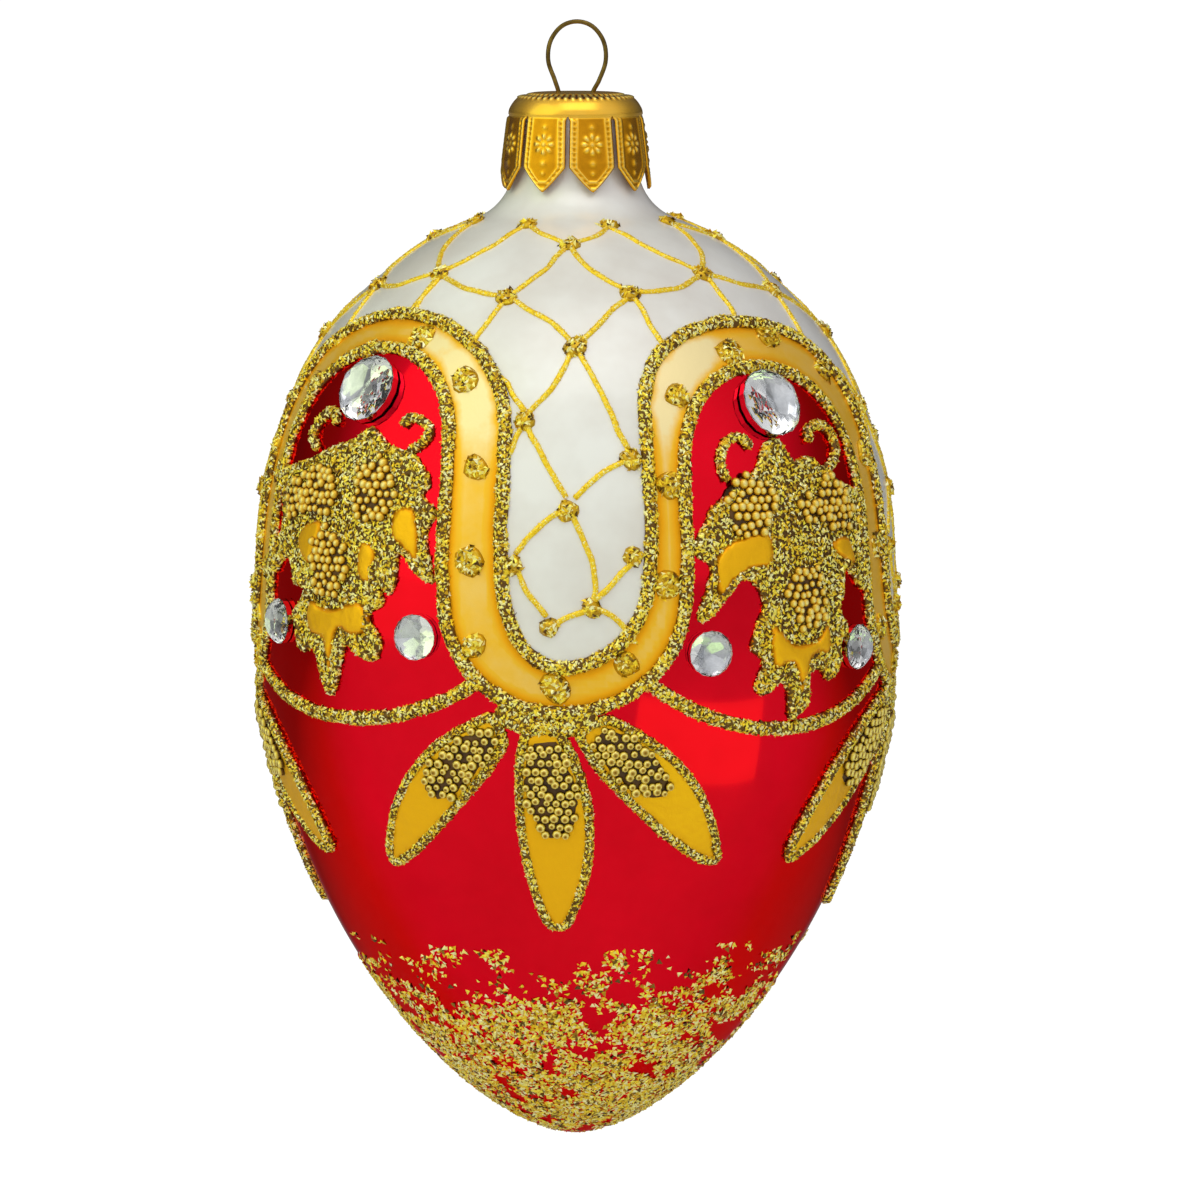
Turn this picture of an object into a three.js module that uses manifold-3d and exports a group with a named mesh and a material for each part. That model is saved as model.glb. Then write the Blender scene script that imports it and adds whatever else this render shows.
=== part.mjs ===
import * as THREE from 'three';
import { mergeVertices } from 'three/addons/utils/BufferGeometryUtils.js';
import Module from 'manifold-3d';

// A blown glass egg ornament with a crown cap, a wire loop, set crystals and gold relief.
// Millimetres, +Z up. The origin is the inner top of the wire loop that the egg hangs from.
// Azimuth 0 faces -Y and grows towards +X, and a place on the glass is an azimuth with a height.

const wasm = await Module();
wasm.setup();

// Driving dimensions of the glass
const EQUATOR_RADIUS = 39;
const EQUATOR_Z = -72;
const UPPER_HEIGHT = 51;
const UPPER_ACROSS = 1.746;
const UPPER_ALONG = 2.627;
const LOWER_HEIGHT = 64;
const LOWER_ACROSS = 1.578;
const LOWER_ALONG = 1.857;
const GLASS_WALL = 0.9;
const GLASS_SIDES = 30;
const NECK_RADIUS = 7.6;
const NECK_FILLET = 7;
const LIP_RADIUS = 7.2;
const LIP_Z = -10.3;
const NECK_TOP_Z = -12;

// Driving dimensions of the cap
const CAP_TOP_Z = -8.7;
const CAP_PLATEAU_RADIUS = 5.6;
const CAP_PLATEAU_RISE = 0.3;
const CAP_SHEET = 0.35;
const CAP_SIDES = 18;
const PETALS = 9;
const FIRST_PETAL_AZIMUTH = -66.4;
const SLIT_WIDTH = 0.45;
const SLIT_TOP_Z = -10.95;
const PETAL_POINT_Z = -17.2;
const PETAL_TIP_Z = -20.2;
const PETAL_TIP_RADIUS = 9.2;

// Driving dimensions of the wire
const WIRE_RADIUS = 0.28;
const WIRE_SIDES = 6;
const WIRE_STEPS = 44;
const LOOP_HALF_WIDTH = 3.5;
const LOOP_LEAN = 0.17;
const WIRE_HOLE_X = 2;
const WIRE_HOLE_RADIUS = 0.7;

// Driving dimensions of the crystals and of the relief
const LARGE_CRYSTAL = { diameter: 8.6, height: 2.5, table: 0.56, sides: 12 };
const SMALL_CRYSTAL = { diameter: 5.6, height: 1.6, table: 0.58, sides: 8 };
const SEAT_GAP = 0.3;
const ROPE_WIDTH = 1.8;
const ROPE_HEIGHT = 0.8;
const ROPE_STEP = 4.2;
const UPPER_ARCH_DEPTH = 17;
const LOWER_ARCH_DEPTH = 21.5;
const INNER_VALLEY = { z: -75.1, depth: 15, squareness: 2.6 };
const OUTER_VALLEY = { z: -80.5, depth: 17, squareness: 2.5 };
const SWAG_MEETS = 42;
const PLATE_HEIGHT = 0.8;

// Four red panels, each with its arch tops, stone heights and small stones to the left and right
const PANELS = [
  { azimuth: -45.9, upperTop: -34.3, lowerTop: -38.2, stoneZ: -43.3, sideStones: [[-18.2, -71.4], [17.2, -71.8]],
    swagZ: -82.1, squareness: [3.6, 3.0] },
  { azimuth: 41.4, upperTop: -35.1, lowerTop: -40.3, stoneZ: -44.8, sideStones: [[-17.4, -73.6], [17.6, -74.2]],
    swagZ: -83.2, squareness: [4.8, 3.6] },
  { azimuth: 132.4, upperTop: -34.6, lowerTop: -38.9, stoneZ: -43.8, sideStones: [[-18.1, -72.3], [17.3, -72.6]],
    swagZ: -82.5, squareness: [3.4, 3.8] },
  { azimuth: 223.2, upperTop: -34.9, lowerTop: -39.6, stoneZ: -44.4, sideStones: [[-17.5, -72.9], [17.9, -72.4]],
    swagZ: -82.8, squareness: [3.9, 3.3] },
];

// Four white valleys between the panels, with the half widths of their inner and outer borders
const VALLEYS = [
  { azimuth: -2.6, inner: [10.6, 16.2], outer: [21.4, 22.7] },
  { azimuth: 86.2, inner: [13.2, 14.8], outer: [22.6, 22.9] },
  { azimuth: 177.6, inner: [14.1, 13.9], outer: [22.6, 22.3] },
  { azimuth: 268.3, inner: [14.4, 13.0], outer: [22.9, 22.2] },
];

// Leaves under each valley: root and tip as azimuth from the valley and height, and the width
const LEAVES = [
  { side: 'left', root: [-11.0, -82.0], tip: [-37.2, -99.3], width: 7.8 },
  { side: 'centre', root: [-3.4, -82.5], tip: [-1.2, -107.1], width: 9.2 },
  { side: 'right', root: [4.9, -82.0], tip: [31.6, -98.9], width: 8.2 },
];

// Spray under each large stone: tips and notches as azimuth from the panel and height below the stone
const SPRAY_OUTLINE = [
  [2, -5.4], [8.5, -6.9], [14.5, -8.0], [18.6, -10.6], [16.8, -12.4], [19.4, -14.4], [17.2, -17.0], [19.6, -22.0],
  [13.6, -19.0], [12.4, -23.6], [9.4, -21.2], [11.0, -25.0], [8.2, -26.4], [9.6, -31.2], [3.2, -29.8], [-0.6, -36.2],
  [-4.4, -30.6], [-8.6, -31.8], [-8.4, -29.2], [-11.6, -27.2], [-9.2, -24.8], [-12.2, -23.2], [-14.2, -20.4],
  [-19.6, -22.6], [-17.0, -17.4], [-19.4, -13.6], [-18.2, -10.2], [-11.0, -8.2], [-4.6, -6.8],
];
const TENDRIL = [[12.6, -8.8], [16.6, -7.2], [17.4, -5.0], [14.6, -3.4], [11.4, -4.4]];
const TENDRIL_WIDTH = 1.2;

// Radius of the blown egg at a height
function eggRadius(z) {
  const upper = z > EQUATOR_Z;
  const share = Math.abs(z - EQUATOR_Z) / (upper ? UPPER_HEIGHT : LOWER_HEIGHT);
  const along = upper ? UPPER_ALONG : LOWER_ALONG;
  const across = upper ? UPPER_ACROSS : LOWER_ACROSS;
  return EQUATOR_RADIUS * Math.pow(Math.max(0, 1 - Math.pow(share, along)), 1 / across);
}

// Change of the radius with height
function eggSlope(z) {
  const step = 0.05;
  return (eggRadius(z + step) - eggRadius(z - step)) / (2 * step);
}

// Outward direction of the glass as its share across and its share up
function eggNormal(z) {
  const slope = eggSlope(z);
  const length = Math.hypot(1, slope);
  return [1 / length, -slope / length];
}

// Point at a lift above the glass
function onGlass(azimuth, z, lift) {
  const [across, up] = eggNormal(z);
  const radius = eggRadius(z) + across * lift;
  return new THREE.Vector3(radius * Math.sin(azimuth), -radius * Math.cos(azimuth), z + up * lift);
}

const radians = THREE.MathUtils.degToRad;

// Flips a closed geometry when its faces point inwards
function outward(geometry) {
  const place = geometry.attributes.position;
  const order = geometry.index.array;
  const corners = [new THREE.Vector3(), new THREE.Vector3(), new THREE.Vector3()];
  let volume = 0;
  for (let i = 0; i < order.length; i += 3) {
    corners.forEach((corner, k) => corner.fromBufferAttribute(place, order[i + k]));
    volume += corners[0].dot(corners[1].cross(corners[2]));
  }
  if (volume < 0) {
    for (let i = 0; i < order.length; i += 3) {
      [order[i], order[i + 1]] = [order[i + 1], order[i]];
    }
  }
  return geometry;
}

// Closed solid for joining and cutting
function toSolid(geometry) {
  const bare = geometry.clone();
  bare.deleteAttribute('normal');
  bare.deleteAttribute('uv');
  const merged = outward(mergeVertices(bare, 1e-4));
  const triangles = [];
  for (let i = 0; i < merged.index.count; i += 3) {
    const [a, b, c] = [0, 1, 2].map((k) => merged.index.getX(i + k));
    if (a !== b && b !== c && a !== c) {
      triangles.push(a, b, c);
    }
  }
  return new wasm.Manifold(new wasm.Mesh({
    numProp: 3,
    vertProperties: new Float32Array(merged.attributes.position.array),
    triVerts: new Uint32Array(triangles),
  }));
}

// Geometry of a joined or cut solid
function toGeometry(solid) {
  const mesh = solid.getMesh();
  const geometry = new THREE.BufferGeometry();
  geometry.setAttribute('position', new THREE.BufferAttribute(new Float32Array(mesh.vertProperties), 3));
  geometry.setIndex(new THREE.BufferAttribute(new Uint32Array(mesh.triVerts), 1));
  geometry.computeVertexNormals();
  return geometry;
}

// Solid of revolution about the Z axis
function turned(profile, sides) {
  const points = profile.map(([radius, z]) => new THREE.Vector2(radius, z));
  const geometry = new THREE.LatheGeometry(points, sides);
  geometry.rotateX(Math.PI / 2);
  return outward(geometry);
}

// Height of the fillet's centre, where its arc just touches the egg
function filletCentreZ() {
  const centreRadius = NECK_RADIUS + NECK_FILLET;
  const clearance = (centreZ) => {
    let nearest = Infinity;
    for (let z = -45; z < -21.5; z += 0.02) {
      nearest = Math.min(nearest, Math.hypot(eggRadius(z) - centreRadius, z - centreZ));
    }
    return nearest - NECK_FILLET;
  };
  let low = -24;
  let high = -10;
  for (let i = 0; i < 30; i += 1) {
    const middle = (low + high) / 2;
    if (clearance(middle) < 0) {
      low = middle;
    } else {
      high = middle;
    }
  }
  return high;
}

// Outer profile of the glass from the bottom to the lip, moved inwards by an inset
function glassProfile(inset) {
  const points = [];
  const lowerSteps = 8;
  for (let i = 1; i <= lowerSteps; i += 1) {
    const angle = (Math.PI / 2) * (i / lowerSteps);
    const z = EQUATOR_Z - LOWER_HEIGHT * Math.pow(Math.cos(angle), 2 / LOWER_ALONG);
    points.push([z, eggNormal(Math.max(z, -135.9))]);
  }
  const filletZ = filletCentreZ();
  const centreRadius = NECK_RADIUS + NECK_FILLET;
  let touchZ = -30;
  let nearest = Infinity;
  for (let z = -45; z < -21.5; z += 0.02) {
    const gap = Math.hypot(eggRadius(z) - centreRadius, z - filletZ);
    if (gap < nearest) {
      nearest = gap;
      touchZ = z;
    }
  }
  const upperSteps = 6;
  const touchAngle = Math.asin(Math.pow((touchZ - EQUATOR_Z) / UPPER_HEIGHT, UPPER_ALONG / 2));
  for (let i = 1; i <= upperSteps; i += 1) {
    const angle = touchAngle * (i / upperSteps);
    const z = EQUATOR_Z + UPPER_HEIGHT * Math.pow(Math.sin(angle), 2 / UPPER_ALONG);
    points.push([z, eggNormal(z)]);
  }
  const profile = points.map(([z, [across, up]]) => [eggRadius(z) - across * inset, z - up * inset]);
  const filletStart = Math.atan2(touchZ - filletZ, eggRadius(touchZ) - centreRadius);
  const filletTurn = -Math.PI - filletStart;
  const filletSteps = 3;
  for (let i = 1; i <= filletSteps; i += 1) {
    const angle = filletStart + filletTurn * (i / filletSteps);
    const reach = NECK_FILLET + inset;
    profile.push([centreRadius + reach * Math.cos(angle), filletZ + reach * Math.sin(angle)]);
  }
  profile.push([NECK_RADIUS - inset, NECK_TOP_Z]);
  profile.push([LIP_RADIUS - inset, LIP_Z]);
  return profile;
}

// Hollow blown egg, open at the neck
function glassEgg() {
  const bottomZ = EQUATOR_Z - LOWER_HEIGHT;
  const outer = [[0, bottomZ], ...glassProfile(0)];
  const inner = [[0, bottomZ + GLASS_WALL], ...glassProfile(GLASS_WALL)];
  return turned([...outer, ...inner.reverse()], GLASS_SIDES);
}

// Block with a flat outline, standing out from the axis at an azimuth
function radialBlock(outline, azimuth, from, to) {
  const shape = new THREE.Shape(outline.map(([x, z]) => new THREE.Vector2(x, z)));
  const geometry = new THREE.ExtrudeGeometry(shape, { depth: to - from, bevelEnabled: false });
  geometry.rotateX(Math.PI / 2);
  geometry.translate(0, -from, 0);
  geometry.rotateZ(azimuth);
  return toSolid(geometry);
}

// Thin stamped cap: a disc with a raised middle and a skirt cut into pointed petals
function crownCap() {
  const plateauZ = CAP_TOP_Z + CAP_PLATEAU_RISE;
  const outer = [
    [0, plateauZ], [CAP_PLATEAU_RADIUS, plateauZ], [CAP_PLATEAU_RADIUS + 0.3, CAP_TOP_Z], [6.6, CAP_TOP_Z],
    [7.4, -9.3], [8.1, -10.4], [8.45, -12.0], [9.05, -16.6], [PETAL_TIP_RADIUS, PETAL_TIP_Z],
  ];
  const inner = [
    [0, plateauZ - CAP_SHEET], [CAP_PLATEAU_RADIUS - 0.3, plateauZ - CAP_SHEET],
    [CAP_PLATEAU_RADIUS, CAP_TOP_Z - CAP_SHEET], [6.45, CAP_TOP_Z - CAP_SHEET], [7.12, -9.55], [7.76, -10.55],
    [8.1, -12.1], [8.7, -16.6], [PETAL_TIP_RADIUS - CAP_SHEET, PETAL_TIP_Z],
  ];
  let cap = toSolid(turned([...outer, ...inner.reverse()], CAP_SIDES));
  const halfSlit = SLIT_WIDTH / 2;
  const halfPetal = (Math.PI * PETAL_TIP_RADIUS) / PETALS;
  const below = PETAL_TIP_Z - 0.5;
  const slit = [
    [-halfSlit, SLIT_TOP_Z], [-halfSlit, PETAL_POINT_Z], [-halfPetal, PETAL_TIP_Z], [-halfPetal, below],
    [halfPetal, below], [halfPetal, PETAL_TIP_Z], [halfSlit, PETAL_POINT_Z], [halfSlit, SLIT_TOP_Z],
  ];
  for (let i = 0; i < PETALS; i += 1) {
    const azimuth = radians(FIRST_PETAL_AZIMUTH + (360 / PETALS) * (i + 0.5));
    cap = cap.subtract(radialBlock(slit, azimuth, 7, 11));
  }
  for (const side of [-1, 1]) {
    const hole = new THREE.CylinderGeometry(WIRE_HOLE_RADIUS, WIRE_HOLE_RADIUS, 4, 8);
    hole.rotateX(Math.PI / 2);
    hole.translate(side * WIRE_HOLE_X, 0, CAP_TOP_Z);
    cap = cap.subtract(toSolid(hole));
  }
  return toGeometry(cap);
}

// Spring wire: an oval loop above the cap and two legs that spread inside the neck
function wireHanger() {
  const half = [
    [8.2, -27.5], [6.1, -21.5], [4.3, -15.5], [2.35, -10.6], [WIRE_HOLE_X + 0.05, -8.6],
    [2.7, -6.9], [LOOP_HALF_WIDTH, -4.5], [3.2, -2.1], [1.8, -0.3],
  ];
  const left = half.map(([x, z]) => new THREE.Vector3(-x, 0, z));
  const right = half.map(([x, z]) => new THREE.Vector3(x, 0, z)).reverse();
  const points = [...left, new THREE.Vector3(0, 0, WIRE_RADIUS), ...right];
  for (const point of points) {
    point.x += point.z > CAP_TOP_Z + 1 ? LOOP_LEAN : 0;
  }
  const section = [];
  for (let i = 0; i < WIRE_SIDES; i += 1) {
    const angle = (2 * Math.PI * i) / WIRE_SIDES;
    section.push(new THREE.Vector2(WIRE_RADIUS * Math.cos(angle), WIRE_RADIUS * Math.sin(angle)));
  }
  return new THREE.ExtrudeGeometry(new THREE.Shape(section), {
    steps: WIRE_STEPS,
    extrudePath: new THREE.CatmullRomCurve3(points),
  });
}

// Flat-backed crystal with a girdle, a sloping crown and a table
function crystal({ diameter, height, table, sides }) {
  const radius = diameter / 2;
  return turned([
    [0, 0], [radius * 0.93, 0], [radius, height * 0.25], [radius * table, height], [0, height],
  ], sides);
}

// Stations along a curve through places on the glass
function route(places, step, closed) {
  const points = places.map(([azimuth, z]) => onGlass(radians(azimuth), z, 0));
  const curve = new THREE.CatmullRomCurve3(points, closed, 'centripetal');
  const count = Math.round(curve.getLength() / step);
  const samples = curve.getSpacedPoints(count);
  if (closed) {
    samples.pop();
  }
  return samples.map((point) => ({ azimuth: Math.atan2(point.x, -point.y), z: point.z }));
}

// Solid that follows stations on the glass, with a section given as shares of its width and lifts
function strip(stations, section, widthAt, closed) {
  const count = stations.length;
  const positions = [];
  stations.forEach((station, i) => {
    const before = stations[closed ? (i + count - 1) % count : Math.max(0, i - 1)];
    const after = stations[closed ? (i + 1) % count : Math.min(count - 1, i + 1)];
    const radius = eggRadius(station.z);
    const slopeLength = Math.hypot(1, eggSlope(station.z));
    const turn = Math.atan2(Math.sin(after.azimuth - before.azimuth), Math.cos(after.azimuth - before.azimuth));
    const run = radius * turn;
    const rise = slopeLength * (after.z - before.z);
    const length = Math.hypot(run, rise);
    const width = widthAt(i / (count - 1));
    for (const [share, lift] of section) {
      const aside = share * width;
      const azimuth = station.azimuth + (aside * rise) / (length * radius);
      const z = station.z - (aside * run) / (length * slopeLength);
      positions.push(...onGlass(azimuth, z, lift).toArray());
    }
  });
  const order = [];
  const ring = section.length;
  const spans = closed ? count : count - 1;
  for (let i = 0; i < spans; i += 1) {
    for (let j = 0; j < ring; j += 1) {
      const a = i * ring + j;
      const b = i * ring + ((j + 1) % ring);
      const c = ((i + 1) % count) * ring + j;
      const d = ((i + 1) % count) * ring + ((j + 1) % ring);
      order.push(a, b, d, a, d, c);
    }
  }
  if (!closed) {
    const last = (count - 1) * ring;
    const flat = section.map(([share, lift]) => new THREE.Vector2(share, lift));
    for (const triangle of THREE.ShapeUtils.triangulateShape(flat, [])) {
      const [a, b, c] = triangle.sort((first, second) => first - second);
      order.push(c, b, a, last + a, last + b, last + c);
    }
  }
  const geometry = new THREE.BufferGeometry();
  geometry.setAttribute('position', new THREE.BufferAttribute(new Float32Array(positions), 3));
  geometry.setIndex(order);
  return orderedStrip(geometry);
}

// Gives a strip outward faces and normals
function orderedStrip(geometry) {
  outward(geometry);
  geometry.computeVertexNormals();
  return geometry;
}

const ROPE_SECTION = [
  [-0.5, SEAT_GAP], [-0.3, SEAT_GAP + ROPE_HEIGHT], [0.3, SEAT_GAP + ROPE_HEIGHT], [0.5, SEAT_GAP],
];

// Half of a flattened arch: places from its crown to its springing, in degrees and millimetres
function bow(angle, halfWidth, depth, squareness) {
  const down = depth * (1 - Math.pow(Math.max(0, Math.cos(radians(angle))), 2 / squareness));
  return [halfWidth * Math.sin(radians(angle)), down];
}

// One border all round the egg, over each panel and under each valley
function borderPlaces(archTop, archDepth, archSquareness, valleyShape, widths) {
  const places = [];
  PANELS.forEach((panel, i) => {
    const valley = VALLEYS[i];
    const next = PANELS[(i + 1) % PANELS.length];
    const nextAzimuth = next.azimuth + (i === PANELS.length - 1 ? 360 : 0);
    const [left, right] = widths(valley);
    const archRight = valley.azimuth - left - panel.azimuth;
    const archLeft = nextAzimuth - (valley.azimuth + right);
    for (const angle of [0, 24, 45, 62, 78, 90]) {
      const [aside, down] = bow(angle, archRight, archDepth, archSquareness(panel)[1]);
      places.push([panel.azimuth + aside, archTop(panel) - down]);
    }
    for (const angle of [90, 68, 45, 22, 0, -22, -45, -68, -90]) {
      const [aside, up] = bow(Math.abs(angle), angle > 0 ? left : right, valleyShape.depth, valleyShape.squareness);
      places.push([valley.azimuth - Math.sign(angle) * aside, valleyShape.z + up]);
    }
    for (const angle of [90, 78, 62, 45, 24]) {
      const [aside, down] = bow(angle, archLeft, archDepth, archSquareness(next)[0]);
      places.push([nextAzimuth - aside, archTop(next) - down]);
    }
  });
  return places;
}

// Rope on the white side of the gold band
function upperBorder() {
  const places = borderPlaces(
    (panel) => panel.upperTop, UPPER_ARCH_DEPTH, (panel) => panel.squareness, INNER_VALLEY, (valley) => valley.inner,
  );
  return strip(route(places, ROPE_STEP, true), ROPE_SECTION, () => ROPE_WIDTH, true);
}

// Rope on the red side of the gold band, joined to the swags that close the panels below
function lowerBorder() {
  const places = borderPlaces(
    (panel) => panel.lowerTop, LOWER_ARCH_DEPTH, () => [4.5, 4.5], OUTER_VALLEY, (valley) => valley.outer,
  );
  let border = toSolid(strip(route(places, ROPE_STEP, true), ROPE_SECTION, () => ROPE_WIDTH, true));
  PANELS.forEach((panel, i) => {
    const ends = [VALLEYS[(i + PANELS.length - 1) % PANELS.length], VALLEYS[i]].map((valley, side) => {
      const [aside, up] = bow(SWAG_MEETS, valley.outer[1 - side], OUTER_VALLEY.depth, OUTER_VALLEY.squareness);
      const turn = THREE.MathUtils.euclideanModulo(valley.azimuth - panel.azimuth + 180, 360) - 180;
      return [turn + (side === 0 ? aside : -aside), OUTER_VALLEY.z + up];
    });
    const swag = [-1, -0.75, -0.4, 0, 0.4, 0.75, 1].map((share) => {
      const [reach, endZ] = ends[share < 0 ? 0 : 1];
      const drop = (panel.swagZ - endZ) * (1 - Math.pow(Math.abs(share), 2.2));
      return [panel.azimuth + Math.abs(share) * reach, endZ + drop];
    });
    border = border.add(toSolid(strip(route(swag, ROPE_STEP, false), ROPE_SECTION, () => ROPE_WIDTH, false)));
  });
  return toGeometry(border);
}

// Pointed leaf with a flat face that follows the glass
function leaf(valley, { root, tip, width }) {
  const bend = 1.2;
  const middle = [(root[0] + tip[0]) / 2 + Math.sign(root[0] + 3.4) * bend, (root[1] + tip[1]) / 2];
  const places = [root, middle, tip].map(([azimuth, z]) => [valley.azimuth + azimuth, z]);
  const section = [
    [-0.5, SEAT_GAP], [-0.44, SEAT_GAP + PLATE_HEIGHT], [0.44, SEAT_GAP + PLATE_HEIGHT], [0.5, SEAT_GAP], [0, SEAT_GAP],
  ];
  const widthAt = (share) => width * Math.max(0.08, Math.pow(Math.sin(Math.PI * (0.06 + 0.94 * share ** 0.9)), 0.6));
  return strip(route(places, 4, false), section, widthAt, false);
}

// Spray of jagged leaves below a large stone, with a curled tendril on each side
function spray(panel) {
  const outline = SPRAY_OUTLINE.map(([azimuth, drop]) => {
    const z = panel.stoneZ + drop;
    return [eggRadius(z) * Math.sin(radians(azimuth)), z];
  });
  const middle = [0, -12, -24, -36].map((drop) => [panel.azimuth, panel.stoneZ + drop - 2.5]);
  const columns = [-0.5, -0.25, 0, 0.25, 0.5];
  const section = [
    ...columns.map((share) => [share, SEAT_GAP]),
    ...columns.map((share) => [-share, SEAT_GAP + PLATE_HEIGHT]),
  ];
  const sheet = toSolid(strip(route(middle, 8, false), section, () => 32, false));
  let plate = sheet.intersect(radialBlock(outline, radians(panel.azimuth), 20, 60));
  for (const side of [-1, 1]) {
    const places = TENDRIL.map(([azimuth, drop]) => [panel.azimuth + side * azimuth, panel.stoneZ + drop]);
    plate = plate.add(toSolid(strip(route(places, 2.2, false), ROPE_SECTION, () => TENDRIL_WIDTH, false)));
  }
  return toGeometry(plate);
}

const FINISHES = {
  glass: { color: 0xc00a20, roughness: 0.12, metalness: 0.3 },
  capMetal: { color: 0xf0a820, roughness: 0.25, metalness: 1 },
  wire: { color: 0x6a5420, roughness: 0.35, metalness: 1 },
  crystal: { color: 0xf2f4f6, roughness: 0.03, metalness: 0 },
  glitter: { color: 0xc8a020, roughness: 0.45, metalness: 0.8 },
  goldPaint: { color: 0xf0aa18, roughness: 0.4, metalness: 0.3 },
};

const ornament = new THREE.Group();

// Adds a named piece to the ornament
function addPiece(name, geometry, finish) {
  const piece = new THREE.Mesh(geometry, new THREE.MeshStandardMaterial(FINISHES[finish]));
  piece.name = name;
  ornament.add(piece);
  return piece;
}

// Sets a piece on the glass with its own Z axis pointing straight out
function setOnGlass(piece, azimuth, z) {
  const [across, up] = eggNormal(z);
  const angle = radians(azimuth);
  const normal = new THREE.Vector3(across * Math.sin(angle), -across * Math.cos(angle), up);
  piece.position.copy(onGlass(angle, z, SEAT_GAP));
  piece.quaternion.setFromUnitVectors(new THREE.Vector3(0, 0, 1), normal);
}

addPiece('glass_egg', glassEgg(), 'glass');
addPiece('crown_cap', crownCap(), 'capMetal');
addPiece('wire_hanger', wireHanger(), 'wire');
addPiece('upper_border', upperBorder(), 'glitter');
addPiece('lower_border', lowerBorder(), 'glitter');

PANELS.forEach((panel, i) => {
  const number = i + 1;
  setOnGlass(addPiece(`large_crystal_${number}`, crystal(LARGE_CRYSTAL), 'crystal'), panel.azimuth, panel.stoneZ);
  panel.sideStones.forEach(([aside, z], side) => {
    const small = addPiece(`small_crystal_${number}_${['left', 'right'][side]}`, crystal(SMALL_CRYSTAL), 'crystal');
    setOnGlass(small, panel.azimuth + aside, z);
  });
  addPiece(`spray_${number}`, spray(panel), 'glitter');
});

VALLEYS.forEach((valley, i) => {
  for (const shape of LEAVES) {
    addPiece(`leaf_${i + 1}_${shape.side}`, leaf(valley, shape), 'goldPaint');
  }
});

export default ornament;
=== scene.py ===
"""A blown glass egg ornament with gold glitter relief, set crystals, a crown cap and a wire loop."""

import logging
import math
from dataclasses import dataclass, field, replace
from enum import Enum
from typing import Callable, Iterable, Sequence

import bmesh
import bpy
import numpy as np
from mathutils import Matrix, Vector, kdtree, noise
from mathutils.geometry import delaunay_2d_cdt


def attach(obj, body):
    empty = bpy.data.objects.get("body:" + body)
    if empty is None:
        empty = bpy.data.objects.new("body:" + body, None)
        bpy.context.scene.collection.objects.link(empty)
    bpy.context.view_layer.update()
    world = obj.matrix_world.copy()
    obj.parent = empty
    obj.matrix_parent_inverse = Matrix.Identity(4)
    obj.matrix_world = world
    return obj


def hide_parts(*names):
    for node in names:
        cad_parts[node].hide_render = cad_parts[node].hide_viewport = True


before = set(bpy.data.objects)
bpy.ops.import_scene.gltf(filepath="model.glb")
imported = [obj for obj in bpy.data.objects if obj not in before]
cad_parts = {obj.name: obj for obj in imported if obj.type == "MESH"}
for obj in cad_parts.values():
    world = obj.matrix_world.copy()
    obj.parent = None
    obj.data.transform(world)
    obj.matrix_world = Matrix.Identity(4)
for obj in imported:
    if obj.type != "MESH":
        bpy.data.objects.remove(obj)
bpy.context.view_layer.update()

MM = 0.001
BODY = "root"
LOG = logging.getLogger("ornament")

Place = tuple[float, float]


class Slot(Enum):
    """Material slots of the record."""

    GLASS = "painted_glass"
    CAP = "cap_metal"
    WIRE = "hanger_wire"
    CRYSTAL = "clear_crystal"
    GLITTER = "gold_glitter"
    PAINT = "gold_paint"


# Shape of the glass

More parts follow.
